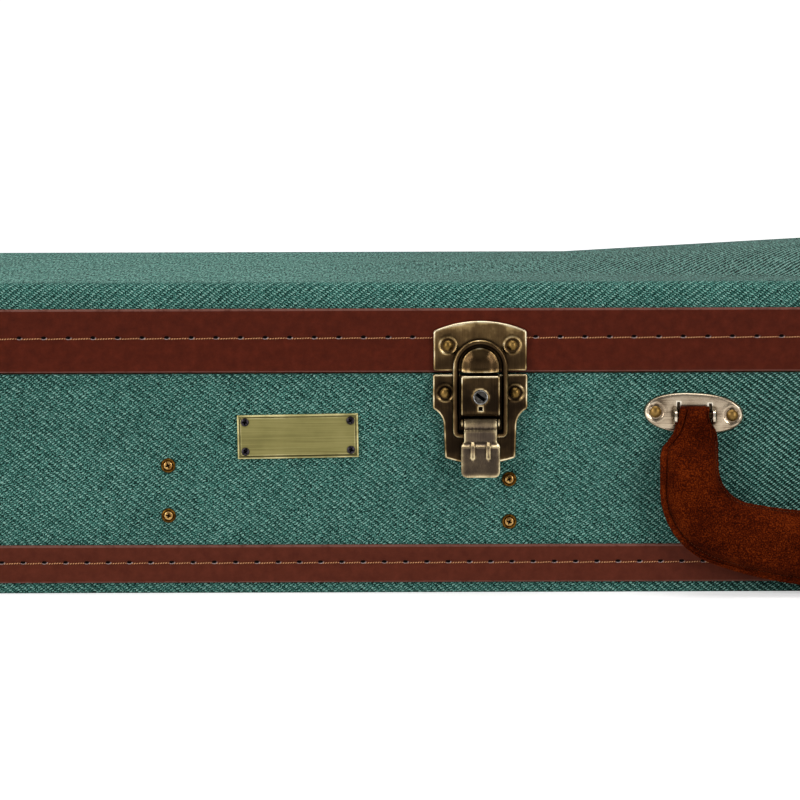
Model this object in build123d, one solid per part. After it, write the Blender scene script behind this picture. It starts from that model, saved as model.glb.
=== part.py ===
from build123d import *
import os
from math import atan2, degrees, hypot, sqrt

# A keyhole-shaped hard case for a banjo, lying on its bottom and closed.
# Millimetres. X runs along the case with the round pot end at +X, the front wall
# with the latches and the handle faces -Y, and the floor is Z = 0.

# Plan of the case, measured on the outside of the cloth
case_length = 1070.0
neck_half_width = 105.0
pot_radius = 205.0
pot_flat = 192.0
flat_blend_radius = 80.0
crevice_radius = 45.0
head_corner_radius = 45.0

# Heights
base_height = 97.5
lid_bottom = 98.1
lid_wall_top = 137.6
dome_height = 28.0
dome_base_radius = 175.0
ridge_toe_x = -202.0
ridge_radius = 250.0

# Layers of the walls, as insets from the outside of the cloth
cloth = 1.0
base_inner = 6.0
lid_inner = 5.2
lining_inner = 9.0
lid_lining_inner = 8.2
edge_radius = 4.0

# Leather bands
band_thickness = 1.6
base_band = (4.8, 21.6)
base_stitch_z = 13.7
lid_band = (98.1, 126.2)
lid_stitch_z = 113.3
channel_width = 1.8
channel_depth = 0.5

# Inside of the base
valance_thickness = 2.5
valance_span = (72.0, 105.5)
lining_top = 72.0
floor_pad_top = 12.0
cradle_radius = 177.0
cradle_top = 58.0
board_thickness = 5.0
board_top = 91.0
notch_width = 60.0
notch_bottom = 66.0
head_board_x = -269.2
neck_board_x = -118.8
head_screw_heights = (57.0, 34.7)
neck_screw_heights = (50.5, 31.6)

# Compartment lid, on two pins in the boards
tray_lid_bottom = 58.0
tray_lid_thickness = 5.0
tray_lid_half = 94.0
tray_pivot_y = 88.0
tray_pivot_radius = 1.5
tray_gap = 1.0

# Latches: where each stands on the wall
latch_x = {"head": -440.0, "neck": -131.7, "pot": 330.0}
plate_face = 3.8
sheet = 1.0
strike_half = 20.5
strike_bottom = 98.8
strike_shoulder = 116.4
strike_crown = 120.8
hood_half = 8.5
hood_bottom = 97.4
hood_centre = 100.2
hood_face = 9.4
strike_rivet = (14.1, 110.0)
plate_half = 20.7
plate_top = 97.3
waist_top = 82.2
waist_bottom = 74.5
waist_half = 16.0
foot_half = 15.2
foot_corner = 60.7
foot_bottom = 58.6
plate_rivet = (15.3, 89.1)
housing_top = 96.3
housing_bottom = 78.9
housing_face = 11.3
lug_inner = 7.5
lug_outer = 8.5
pivot_v = 76.5
pivot_w = 8.3
pivot_radius = 0.8
knuckle_radius = 2.0
running_gap = 0.05
leaf = 1.1
leaf_half = 7.2
thumb_half = 8.4
thumb_top = 66.6
thumb_bottom = 51.4
bail_v = 71.1
bail_w = 7.3
bail_half = 10.5
bail_crown = 110.9
wire_radius = 1.7
key_v = 88.0
key_radius = 3.3

# Name plate
plate_x = -211.9
plate_z = 69.9
plate_size = (53.3, 19.4)
plate_tilt = 0.85

# Handle and its brackets
handle_x = 32.0
bracket_span = 69.7
bracket_z = 79.5
bracket_tilt = 2.9
bracket_radii = (22.0, 9.2)
bracket_rivet = 16.9
ear_offset = 8.4
ear_thickness = 1.4
handle_pin_z = 79.0
handle_pin_w = 6.5
handle_pin_radius = 1.6
handle_back = 3.2
handle_front = 18.2
flange_width = 3.4
flange_thickness = 3.0

# Hinges on the flat of the pot's back
hinge_pitch = 38.0
hinge_width = 30.0
hinge_leaf = 1.5
hinge_knuckle = 2.5
hinge_pin_radius = 1.0
hinge_axis_z = 97.8

head_x = -case_length / 2
pot_x = case_length / 2 - pot_radius
crevice_y = neck_half_width + crevice_radius
crevice_x = pot_x - sqrt((pot_radius + crevice_radius) ** 2 - crevice_y**2)
blend_y = pot_flat - flat_blend_radius
blend_x = sqrt((pot_radius - flat_blend_radius) ** 2 - blend_y**2)
hinge_axis_y = pot_flat + band_thickness + hinge_knuckle
board_half = neck_half_width - lining_inner
tray_pivot_z = tray_lid_bottom + tray_lid_thickness / 2


def case_outline(inset):
    # The keyhole plan: straight neck, hollow crevices, round pot with two flats.
    half = neck_half_width - inset
    corner = head_corner_radius - inset
    head = head_x + inset
    blend = flat_blend_radius - inset
    to_crevice = degrees(atan2(-crevice_y, crevice_x - pot_x))
    to_blend = degrees(atan2(-blend_y, -blend_x))
    side = [
        CenterArc((head + corner, corner - half), corner, 180, 90),
        Line((head + corner, -half), (crevice_x, -half)),
        CenterArc((crevice_x, -crevice_y), crevice_radius + inset, 90, to_crevice + 90),
        CenterArc((pot_x, 0), pot_radius - inset, to_crevice, to_blend - to_crevice),
        CenterArc((pot_x - blend_x, -blend_y), blend, to_blend, -90 - to_blend),
        Line((pot_x - blend_x, inset - pot_flat), (pot_x + blend_x, inset - pot_flat)),
        CenterArc((pot_x + blend_x, -blend_y), blend, -90, -90 - to_blend),
    ]
    other_side = [mirror(edge, about=Plane.XZ) for edge in side]
    end = -180 - to_blend
    closing = [
        CenterArc((pot_x, 0), pot_radius - inset, end, -2 * end),
        Line((head, corner - half), (head, half - corner)),
    ]
    return make_face(side + other_side + closing)


def prism(face, bottom, top):
    return extrude(Pos(0, 0, bottom) * face, top - bottom, dir=(0, 0, 1))


def keyhole(inset, bottom, top):
    return prism(case_outline(inset), bottom, top)


def keyhole_ring(outer, inner, bottom, top):
    return keyhole(outer, bottom, top) - keyhole(inner, bottom - 1, top + 1)


def box_between(low, high):
    size = [b - a for a, b in zip(low, high)]
    return Pos(*low) * Box(*size, align=(Align.MIN, Align.MIN, Align.MIN))


def one_solid(shape):
    return max(shape.solids(), key=lambda solid: solid.volume)


def base_block(inset):
    # The base filled solid, its bottom edge rounded all the way round.
    block = keyhole(inset, inset, base_height)
    rim = block.faces().sort_by(Axis.Z)[0].edges()
    return fillet(rim, edge_radius - inset)


def lid_block(inset):
    # The lid filled solid: slab, spherical dome over the pot, ridge that fades out.
    top = lid_wall_top - inset
    slab = keyhole(inset, lid_bottom, top)
    if inset < edge_radius:
        slab = fillet(slab.faces().sort_by(Axis.Z)[-1].edges(), edge_radius - inset)
    sphere_radius = (dome_base_radius**2 + dome_height**2) / (2 * dome_height)
    centre_z = lid_wall_top + dome_height - sphere_radius
    slope = ridge_slope(sphere_radius)
    ridge_end = pot_x - slope * sphere_radius
    keep = top - 1
    above = box_between((ridge_toe_x - 60, -250, keep), (600, 250, 300))
    dome = Pos(pot_x, 0, centre_z) * Sphere(sphere_radius - inset) & above
    length = (ridge_end - ridge_toe_x) * 2.2
    ridge = Pos(ridge_toe_x, 0, lid_wall_top) * Rot(0, 90 - degrees(slope), 0)
    ridge = ridge * Pos(ridge_radius, 0, 0) * Cylinder(ridge_radius - inset, length)
    ridge = ridge & above & box_between((ridge_toe_x - 60, -250, 0), (ridge_end, 250, 300))
    return slab + ridge + dome


def ridge_slope(sphere_radius):
    # The crest line starts at the toe and meets the dome tangentially.
    run = pot_x - ridge_toe_x
    drop = sphere_radius - dome_height
    reach = hypot(run, drop)
    return atan2(run, drop) - atan2(sqrt(reach**2 - sphere_radius**2), sphere_radius)


# Wall planes: local X runs along the wall, local Y is up, local Z points outwards.
def front_wall(x, wall_y=neck_half_width):
    return Plane(origin=(x, -wall_y, 0), x_dir=(1, 0, 0), z_dir=(0, -1, 0)).location


def back_wall(x, wall_y=neck_half_width):
    return Plane(origin=(x, wall_y, 0), x_dir=(-1, 0, 0), z_dir=(0, 1, 0)).location


def end_wall():
    return Plane(origin=(case_length / 2, 0, 0), x_dir=(0, 1, 0), z_dir=(1, 0, 0)).location


def latch_places():
    places = {name: front_wall(x) for name, x in latch_x.items()}
    places["pot"] = front_wall(latch_x["pot"], pot_flat)
    places["tail"] = end_wall()
    return places


# Wooden box and its coverings
def base_shells():
    wood = base_block(cloth)
    cloth_tub = base_block(0) - wood
    flat = keyhole(base_inner, -1, cloth)
    ring = wood - keyhole(base_inner, base_inner, base_height + 1)
    panel = ring & keyhole(0, 0, base_inner)
    walls = ring & keyhole(0, base_inner, base_height)
    head_end, pot_start = head_x + head_corner_radius + 15, crevice_x
    high = base_height + 5
    neck = box_between((head_end, 0, 0), (pot_start, 250, high))
    return {
        "base_bottom_panel": panel,
        "base_wall_head": walls & box_between((head_x - 5, -250, 0), (head_end, 250, high)),
        "base_wall_neck_front": walls & mirror(neck, about=Plane.XZ),
        "base_wall_neck_back": walls & neck,
        "base_wall_pot": walls & box_between((pot_start, -250, 0), (600, 250, high)),
        "base_cloth_bottom": cloth_tub & flat,
        "base_cloth_sides": cloth_tub - keyhole(base_inner, -1, cloth),
    }


def leather_band(span, stitch_z):
    # A strip round the whole case with a shallow channel for its row of stitches.
    strip = keyhole_ring(-band_thickness, 0, *span)
    half = channel_width / 2
    return strip - keyhole_ring(
        -band_thickness - 1, channel_depth - band_thickness, stitch_z - half, stitch_z + half
    )


def lid_shells():
    outside = lid_block(0)
    wood = lid_block(cloth)
    wood_inside = lid_block(lid_inner)
    split = lid_wall_top - lid_inner
    shell = wood - wood_inside
    low = box_between((-600, -300, 0), (600, 300, split))
    lining = wood_inside - lid_block(lid_lining_inner)
    lining = lining - box_between((-600, -300, 0), (600, 300, valance_span[1] + 2))
    return {
        "lid_side_wall": shell & low,
        "lid_top_panel": shell - low,
        "lid_cloth_cover": outside - wood,
        "lid_lining": lining,
    }


def partition_board(x, screw_heights):
    # A cross board with a round-cornered notch that the banjo's neck lies in.
    half = board_thickness / 2
    board = box_between((x - half, -board_half, base_inner), (x + half, board_half, board_top))
    notch = box_between(
        (x - half - 1, -notch_width / 2, notch_bottom), (x + half + 1, notch_width / 2, board_top + 1)
    )
    notch = fillet(notch.edges().filter_by(Axis.X).group_by(Axis.Z)[0], 14)
    return board - notch


def saddle_pad(x):
    # A strip of plush folded over the notch's edge.
    half, pad = board_thickness / 2, 3.0
    outer = box_between(
        (x - half, -notch_width / 2, notch_bottom), (x + half, notch_width / 2, board_top)
    )
    outer = fillet(outer.edges().filter_by(Axis.X).group_by(Axis.Z)[0], 14)
    inner = box_between(
        (x - half - 1, pad - notch_width / 2, notch_bottom + pad),
        (x + half + 1, notch_width / 2 - pad, board_top + 1),
    )
    return outer - fillet(inner.edges().filter_by(Axis.X).group_by(Axis.Z)[0], 11)


def base_inside():
    head_board = partition_board(head_board_x, head_screw_heights)
    neck_board = partition_board(neck_board_x, neck_screw_heights)
    pads = keyhole(lining_inner, base_inner, floor_pad_top) - head_board - neck_board
    pot_half = box_between((crevice_x, -250, 0), (600, 250, 50))
    cradle = keyhole(lining_inner, floor_pad_top, cradle_top)
    cradle = cradle & box_between((pot_x - 150, -250, 0), (600, 250, 200))
    cradle = cradle - Pos(pot_x, 0, 50) * Cylinder(cradle_radius, 200)
    rail_half, rail_low = 9.0, 46.0
    inner_x = (head_board_x + board_thickness / 2, neck_board_x - board_thickness / 2)
    front_rail = box_between(
        (inner_x[0], -board_half, rail_low), (inner_x[1], rail_half - board_half, tray_lid_bottom - 0.3)
    )
    back_rail = box_between(
        (inner_x[0], board_half - rail_half, rail_low), (inner_x[1], board_half, rail_low + 5)
    )
    valance = keyhole_ring(base_inner, base_inner + valance_thickness, *valance_span)
    return {
        "base_lining": keyhole_ring(base_inner, lining_inner, base_inner, lining_top),
        "base_valance": valance,
        "pot_floor_pad": pads & pot_half,
        "neck_floor_pad": pads - pot_half,
        "pot_cradle_pad": cradle,
        "head_partition": head_board,
        "neck_partition": neck_board,
        "neck_saddle_pads": Compound([saddle_pad(head_board_x), saddle_pad(neck_board_x)]),
        "compartment_rails": Compound([front_rail, back_rail]),
    }


def compartment():
    gap = board_thickness / 2 + tray_gap
    low = (head_board_x + gap, -tray_lid_half, tray_lid_bottom)
    high = (neck_board_x - gap, tray_lid_half, tray_lid_bottom + tray_lid_thickness)
    panel = box_between(low, high)
    back = panel.edges().filter_by(Axis.X).group_by(Axis.Y)[-1]
    panel = fillet(back, 2.4)
    bore = Rot(0, 90, 0) * Cylinder(tray_pivot_radius + running_gap, case_length)
    panel = panel - Pos(0, tray_pivot_y, tray_pivot_z) * bore
    middle = (low[0] + high[0]) / 2
    tab = box_between(
        (middle - 10, 6 - tray_lid_half, high[2]), (middle + 10, 34 - tray_lid_half, high[2] + 1.6)
    )
    tab = fillet(tab.edges().filter_by(Axis.Z), 4)
    pins = []
    for board, side in ((head_board_x, 1), (neck_board_x, -1)):
        pin = Rot(0, 90, 0) * Cylinder(tray_pivot_radius, 15)
        pins.append(Pos(board + side * 5, tray_pivot_y, tray_pivot_z) * pin)
    return {
        "compartment_lid": panel,
        "compartment_pull_tab": tab,
        "compartment_pivot_pins": Compound(pins),
    }


# Screws and rivets, drawn with local Z pointing out of the wall
def wall_screw():
    profile = Polyline((0, 1.5), (0.9, 1.5), (2.0, 0.9), (1.2, -0.6), (1.2, -27), (0, -29), close=True)
    cross = Box(2.2, 0.5, 1) + Box(0.5, 2.2, 1)
    return revolve(Plane.XZ * make_face(profile)) - Pos(0, 0, 1.4) * cross


def cup_washer():
    profile = Polyline((1.2, -0.6), (2.0, 0.9), (2.4, 1.2), (2.95, 0.3), (2.95, 0), (1.2, -0.6))
    return revolve(Plane.XZ * make_face(profile))


def rivet(head_radius, head_height, shank_radius, length):
    # A domed head at local Z = 0 with its shank clinched over inside the wall.
    dome_radius = (head_radius**2 + head_height**2) / (2 * head_height)
    dome = Pos(0, 0, head_height - dome_radius) * Sphere(dome_radius)
    dome = dome & Pos(0, 0, head_height) * Box(20, 20, 2 * head_height)
    shank = Pos(0, 0, -length / 2) * Cylinder(shank_radius, length)
    clinch = Pos(0, 0, -length - 0.4) * Cylinder(shank_radius + 1.2, 0.8)
    return dome + shank + clinch


def partition_screws():
    rows = [(head_board_x, head_screw_heights), (neck_board_x, neck_screw_heights)]
    screws, washers = [], []
    for x, heights in rows:
        for wall in (front_wall(x), back_wall(x)):
            for z in heights:
                screws.append(wall * Pos(0, z, 0) * wall_screw())
                washers.append(wall * Pos(0, z, 0) * cup_washer())
    return {"partition_screws": Compound(screws), "partition_cup_washers": Compound(washers)}


# Latch parts, drawn on the wall plane: local X across, Y up from the floor, Z outwards
def pressed_tray(outline, depth, edge):
    # A pressed plate: thin sheet with its rim turned down to the wall.
    outer = extrude(outline, depth, dir=(0, 0, 1))
    outer = fillet(outer.faces().sort_by(Axis.Z)[-1].edges(), edge)
    inner = extrude(offset(outline, -sheet, kind=Kind.INTERSECTION), depth - sheet, dir=(0, 0, 1))
    return outer - inner


def strike_plate():
    outline = make_face(
        [
            Line((-strike_half, strike_bottom), (strike_half, strike_bottom)),
            Line((strike_half, strike_bottom), (strike_half, strike_shoulder)),
            ThreePointArc((strike_half, strike_shoulder), (0, strike_crown), (-strike_half, strike_shoulder)),
            Line((-strike_half, strike_shoulder), (-strike_half, strike_bottom)),
        ]
    )
    start = plate_face - 3.6
    plate = Pos(0, 0, start) * pressed_tray(fillet(outline.vertices(), 1.2), 3.6, 0.8)
    hood = make_face(
        [
            Line((-hood_half, hood_bottom), (hood_half, hood_bottom)),
            Line((hood_half, hood_bottom), (hood_half, hood_centre)),
            CenterArc((0, hood_centre), hood_half, 0, 180),
            Line((-hood_half, hood_centre), (-hood_half, hood_bottom)),
        ]
    )
    hood = prism(hood, plate_face - sheet, hood_face)
    face = hood.faces().sort_by(Axis.Z)[-1]
    crest = face.edges().filter_by(lambda edge: edge.center().Y > hood_bottom + 0.1)
    hood = fillet(crest, 3.0)
    return plate + hood


def latch_plate():
    # The waisted base plate, with the lock housing and the lugs for the lever's pin.
    reach = waist_top - waist_bottom
    depth = plate_half - waist_half
    curve = (depth**2 + reach**2) / (2 * depth)
    side = [
        Line((foot_half, foot_corner), (waist_half, waist_bottom)),
        CenterArc((waist_half + curve, waist_bottom), curve, 180, -degrees(atan2(reach, curve - depth))),
        Line((plate_half, waist_top), (plate_half, plate_top)),
    ]
    outline = make_face(
        side
        + [mirror(edge, about=Plane.YZ) for edge in side]
        + [
            Line((plate_half, plate_top), (-plate_half, plate_top)),
            ThreePointArc((-foot_half, foot_corner), (0, foot_bottom), (foot_half, foot_corner)),
        ]
    )
    start = -1.6
    plate = Pos(0, 0, start) * pressed_tray(outline, plate_face - start, 0.8)
    return plate + lock_housing() + pivot_lugs()


def lock_housing():
    slope = housing_face - pivot_w
    side = Polyline(
        (housing_bottom, plate_face - sheet),
        (housing_bottom, pivot_w),
        (housing_bottom + slope, housing_face),
        (housing_top, housing_face),
        (housing_top, plate_face - sheet),
        close=True,
    )
    block = extrude(Plane.YZ * make_face(side), hood_half, both=True)
    return fillet(block.edges().filter_by(Axis.X).group_by(Axis.Y)[-1].group_by(Axis.Z)[-1], 0.8)


def pivot_lugs():
    lugs = None
    for side in (-1, 1):
        middle = side * (lug_inner + lug_outer) / 2
        web = Pos(middle, (pivot_v + housing_bottom) / 2, pivot_w / 2 + 1.4) * Box(
            lug_outer - lug_inner, housing_bottom - pivot_v + 0.6, pivot_w - 2.8
        )
        eye = Pos(middle, pivot_v, pivot_w) * Rot(0, 90, 0) * Cylinder(1.9, lug_outer - lug_inner)
        foot = Pos(middle, pivot_v, (pivot_w + plate_face) / 2 - 0.3) * Box(
            lug_outer - lug_inner, 3.8, pivot_w - plate_face + 0.6
        )
        lug = web + eye + foot
        lugs = lug if lugs is None else lugs + lug
    return lugs


def pivot_pin():
    return Pos(0, pivot_v, pivot_w) * Rot(0, 90, 0) * Cylinder(pivot_radius, 2 * lug_outer + 0.2)


def latch_lever():
    # A leaf rolled round the pin, stepped out to a thumb piece with two ribs.
    outer_w = pivot_w + knuckle_radius
    roll = Pos(0, pivot_v, pivot_w) * Rot(0, 90, 0) * Cylinder(knuckle_radius, 2 * leaf_half)
    step_w = outer_w + 1.0
    side = make_face(
        Polyline(
            (pivot_v, outer_w),
            (thumb_top + 1.6, outer_w),
            (thumb_top, step_w),
            (thumb_top - 1.2, step_w),
            (thumb_top - 1.2, step_w - leaf),
            (thumb_top + 1.0, outer_w - leaf),
            (pivot_v, outer_w - leaf),
            close=True,
        )
    )
    neck = extrude(Plane.YZ * side, leaf_half, both=True)
    thumb_side = make_face(
        Polyline(
            (thumb_top, step_w),
            (thumb_bottom, step_w + 1.4),
            (thumb_bottom, step_w + 1.4 - leaf),
            (thumb_top, step_w - leaf),
            close=True,
        )
    )
    thumb = extrude(Plane.YZ * thumb_side, thumb_half, both=True)
    tip = thumb.edges().filter_by(Axis.Z, tolerance=6).group_by(Axis.Y)[0]
    thumb = fillet(tip, 2.4)
    ribs = [rib(side) for side in (-3.4, 3.4)]
    ears = [lever_ear(side) for side in (-1, 1)]
    lever = roll + neck + thumb + ribs[0] + ribs[1] + ears[0] + ears[1]
    pin_bore = Pos(0, pivot_v, pivot_w) * Rot(0, 90, 0) * Cylinder(pivot_radius + running_gap, 40)
    bail_bore = Pos(0, bail_v, bail_w) * Rot(0, 90, 0) * Cylinder(pivot_radius + running_gap, 40)
    return lever - pin_bore - bail_bore


def rib(x):
    # A pressed rib that straddles the step of the lever.
    outer_w = pivot_w + knuckle_radius
    bar = Pos(x, 63.8, outer_w + 0.9) * Rot(94, 0, 0) * Cylinder(1.1, 9.6)
    return bar & Pos(x, 63.8, outer_w + 3.0) * Box(10, 12, 4.6)


def lever_ear(side):
    # The leaf's side flange, pierced for the end of the bail.
    low, high = bail_v - 2.0, bail_v + 2.0
    inner, outer = leaf_half - 1.0, leaf_half
    span = sorted((side * inner, side * outer))
    web = box_between((span[0], low, bail_w), (span[1], high, pivot_w + knuckle_radius - 0.3))
    eye = Pos(side * (inner + outer) / 2, bail_v, bail_w) * Rot(0, 90, 0) * Cylinder(2.0, outer - inner)
    return web + eye


def latch_bail():
    # Round-topped wire loop, its thinner ends turned inwards through the lever's ears.
    crown = bail_crown - bail_half
    foot = bail_v
    path = Wire(
        [
            Edge.make_line((-bail_half, foot, bail_w), (-bail_half, crown, bail_w)),
            Edge.make_three_point_arc(
                (-bail_half, crown, bail_w), (0, bail_crown, bail_w), (bail_half, crown, bail_w)
            ),
            Edge.make_line((bail_half, crown, bail_w), (bail_half, foot, bail_w)),
        ]
    )
    profile = Plane(origin=path @ 0, z_dir=path % 0) * Circle(wire_radius)
    loop = sweep(profile, path=path)
    for side in (-1, 1):
        reach = bail_half - leaf_half + 2.4
        middle = side * (bail_half - reach / 2)
        loop = loop + Pos(middle, bail_v, bail_w) * Rot(0, 90, 0) * Cylinder(pivot_radius, reach)
        loop = loop + Pos(side * bail_half, bail_v, bail_w) * Sphere(wire_radius)
    return loop


def key_cylinder():
    # The lock's core, with a key slot, standing just proud of the housing.
    core = Pos(0, key_v, housing_face - 2.1) * Cylinder(key_radius - running_gap, 5.0)
    slot = Pos(0, key_v, housing_face) * Rot(0, 0, -45) * Box(3.6, 1.1, 4.0)
    return core - slot


def lock_recess():
    bore = Pos(0, key_v, housing_face - 2.1) * Cylinder(key_radius, 5.0)
    bore = bore + Pos(0, key_v, housing_face + 2) * Cylinder(key_radius, 4.0)
    notch = Pos(0, 82.9, housing_face) * Box(1.9, 1.9, 2.4)
    return bore + notch


def latches():
    parts = {}
    pins, strikes, base_rivets, lid_rivets = [], [], [], []
    base_face = keyhole(0, base_inner, base_height)
    band_face = keyhole(-band_thickness, *lid_band)
    lid_face = keyhole(0, lid_band[0] - 5, lid_band[0])
    head = rivet(2.3, 1.3, 1.4, plate_face + base_inner)
    for name, place in latch_places().items():
        plate = latch_plate()
        if name == "neck":
            plate = plate - lock_recess()
        strike = strike_plate()
        for side in (-1, 1):
            low = Pos(side * plate_rivet[0], plate_rivet[1], plate_face) * head
            high = Pos(side * strike_rivet[0], strike_rivet[1], plate_face) * head
            plate = plate - low
            strike = strike - high
            base_rivets.append(place * low)
            lid_rivets.append(place * high)
        parts[f"latch_{name}_plate"] = place * (plate - pivot_pin()) - base_face
        parts[f"latch_{name}_lever"] = place * latch_lever()
        parts[f"latch_{name}_bail"] = place * latch_bail()
        strikes.append(place * strike - band_face - lid_face)
        pins.append(place * pivot_pin())
    parts["latch_key_cylinder"] = latch_places()["neck"] * key_cylinder()
    parts["latch_pivot_pins"] = Compound(pins)
    parts["latch_strike_plates"] = Compound(strikes)
    parts["latch_base_rivets"] = Compound(base_rivets)
    parts["latch_strike_rivets"] = Compound(lid_rivets)
    return parts


# Name plate on the front wall
def name_plate():
    width, height = plate_size
    wall = front_wall(plate_x) * Pos(0, plate_z, 0) * Rot(0, 0, plate_tilt)
    blank = extrude(RectangleRounded(width, height, 0.8), 1.3)
    field = Pos(0, 0, 0.9) * extrude(RectangleRounded(width - 2.2, height - 2.2, 0.6), 1)
    plate = blank - field
    screws = []
    for x in (-1, 1):
        for y in (-1, 1):
            spot = Pos(x * (width / 2 - 3.4), y * (height / 2 - 3.2), 0.9)
            plate = plate - spot * Cylinder(0.8, 10)
            cross = Box(1.7, 0.4, 0.8) + Box(0.4, 1.7, 0.8)
            head = rivet(1.85, 0.9, 0.8, 5.0) - Pos(0, 0, 0.9) * cross
            screws.append(wall * spot * head)
    return {"name_plate": wall * plate, "name_plate_screws": Compound(screws)}


# Handle
def touching_centre(corner_x, corner_z, corner_radius, edge_z):
    # Height of the centre of the arc through (0, edge_z) that touches the corner circle.
    lift = corner_z - edge_z
    radius = (corner_x**2 + lift**2 - corner_radius**2) / (2 * (lift - corner_radius))
    return edge_z + radius, radius


def handle_outline(inset=0.0):
    # Front view of the padded part: two legs and a sagging grip, symmetric about X = 0.
    top, shoulder = 66.0, 62.0
    outer_x, inner_x = 85.0 - inset, 59.5 + inset
    corner_x, corner_z, corner_radius = 50.0, 47.0, 35.0 - inset
    grip_z = 3.2 + inset
    centre_z, radius = touching_centre(corner_x, corner_z, corner_radius, grip_z)
    turn = degrees(atan2(corner_x, centre_z - corner_z))
    inside_x, inside_z, inside_radius = 42.5, 57.5, 17.0 + inset
    roof_z = 36.6 - inset
    roof_centre, roof_radius = touching_centre(inside_x, inside_z, inside_radius, roof_z)
    inside_turn = degrees(atan2(inside_x, roof_centre - inside_z))
    chamfer = 4.0
    left = [
        Line((-outer_x + chamfer, top - inset), (-outer_x, shoulder - inset)),
        Line((-outer_x, shoulder - inset), (-outer_x, corner_z)),
        CenterArc((-corner_x, corner_z), corner_radius, 180, 90 - turn),
        Line((-inner_x, inside_z), (-inner_x, top - inset)),
        Line((-inner_x, top - inset), (-outer_x + chamfer, top - inset)),
        CenterArc((-inside_x, inside_z), inside_radius, 180, 90 - inside_turn),
    ]
    right = [mirror(edge, about=Plane.YZ) for edge in left]
    middle = [
        CenterArc((0, centre_z), radius, 270 - turn, 2 * turn),
        CenterArc((0, roof_centre), roof_radius, 270 - inside_turn, 2 * inside_turn),
    ]
    return make_face(left + right + middle)


def handle():
    wall = front_wall(handle_x)
    padding = prism(handle_outline(flange_width), handle_back, handle_front)
    padding = fillet(padding.faces().sort_by(Axis.Z)[0].edges(), 5.0)
    padding = fillet(padding.faces().sort_by(Axis.Z)[-1].edges(), 5.0)
    middle = (handle_back + handle_front) / 2
    flange = prism(handle_outline(), middle - flange_thickness / 2, middle + flange_thickness / 2)
    cover = padding + flange
    core = prism(handle_outline(9.0), middle - 1.0, middle + 1.0)
    cover = cover - core
    for side in (-1, 1):
        cover = cover + end_tab(side)
    return {
        "handle_cover": wall * one_solid(cover - end_bores()),
        "handle_core": wall * core,
    }


def end_tab(side):
    # The strap that narrows up from the leg and wraps round the bracket's pin.
    half = 6.3
    middle = side * bracket_span
    roll = Pos(middle, handle_pin_z, handle_pin_w) * Rot(0, 90, 0) * Cylinder(4.2, 2 * half)
    strap = Polyline(
        (middle - half, handle_pin_z),
        (middle + half, handle_pin_z),
        (middle + 7.0, 73.0),
        (middle + 11.0 + side * 2.0, 63.0),
        (middle - 11.0 + side * 2.0, 63.0),
        (middle - 7.0, 73.0),
        close=True,
    )
    return roll + prism(make_face(strap), handle_pin_w - 1.8, handle_pin_w + 4.2)


def end_bores():
    bores = None
    for side in (-1, 1):
        bore = Pos(side * bracket_span, handle_pin_z, handle_pin_w) * Rot(0, 90, 0)
        bore = bore * Cylinder(handle_pin_radius + 0.15, 40)
        bores = bore if bores is None else bores + bore
    return bores


def handle_bracket(side):
    # An oval pressed plate with two ears that hold the handle's pin.
    outline = Ellipse(*bracket_radii)
    plate = extrude(outline, 2.0)
    plate = fillet(plate.faces().sort_by(Axis.Z)[-1].edges(), 0.9)
    plate = plate - extrude(Ellipse(bracket_radii[0] - sheet, bracket_radii[1] - sheet), 1.0)
    plate = Pos(0, bracket_z, 0) * Rot(0, 0, side * bracket_tilt) * plate
    for ear in (-1, 1):
        x, z = ear * ear_offset, handle_pin_z - 0.4
        web = Pos(x, z, handle_pin_w / 2 + 0.75) * Box(ear_thickness, 9.6, handle_pin_w - 1.5)
        eye = Pos(x, z, handle_pin_w) * Rot(0, 90, 0) * Cylinder(3.2, ear_thickness)
        web = fillet(web.edges().filter_by(Axis.X).group_by(Axis.Z)[-1], 1.5)
        plate = plate + web + eye
    bore = Pos(0, handle_pin_z, handle_pin_w) * Rot(0, 90, 0) * Cylinder(handle_pin_radius, 40)
    return front_wall(handle_x + side * bracket_span) * (plate - bore)


def handle_fittings():
    rivets, pins = [], []
    for side in (-1, 1):
        place = front_wall(handle_x + side * bracket_span)
        pin = Rot(0, 90, 0) * Cylinder(handle_pin_radius, 2 * ear_offset + ear_thickness + 1.0)
        pins.append(place * Pos(0, handle_pin_z, handle_pin_w) * pin)
        tilt = Pos(0, bracket_z, 2.0) * Rot(0, 0, side * bracket_tilt)
        for end in (-1, 1):
            spot = tilt * Pos(end * bracket_rivet, 0, 0)
            rivets.append(place * spot * rivet(2.6, 1.3, 1.5, 2.0 + base_inner))
    return {
        "handle_bracket_left": handle_bracket(-1),
        "handle_bracket_right": handle_bracket(1),
        "handle_pins": Compound(pins),
        "handle_rivets": Compound(rivets),
    }


# Hinges
def hinges():
    base_leaves, lid_leaves, pins, base_rivets, lid_rivets = [], [], [], [], []
    for number in (-1, 0, 1):
        x = pot_x + number * hinge_pitch
        base_leaves.append(base_leaf(x))
        lid_leaves.append(lid_leaf(x))
        pin = Rot(0, 90, 0) * Cylinder(hinge_pin_radius, hinge_width + 1.2)
        pins.append(Pos(x, hinge_axis_y, hinge_axis_z) * pin)
        for side in (-1, 1):
            wall = back_wall(x + side * 8.5, pot_flat)
            low = rivet(1.9, 0.9, 1.1, hinge_leaf + base_inner)
            high = rivet(1.9, 0.9, 1.1, hinge_leaf + band_thickness + lid_inner)
            base_rivets.append(wall * Pos(0, 84, hinge_leaf) * low)
            lid_rivets.append(wall * Pos(0, 111, hinge_leaf + band_thickness) * high)
    return {
        "hinge_base_leaves": Compound(base_leaves),
        "hinge_lid_leaves": Compound(lid_leaves),
        "hinge_pins": Compound(pins),
        "hinge_base_rivets": Compound(base_rivets),
        "hinge_lid_rivets": Compound(lid_rivets),
    }


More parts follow.
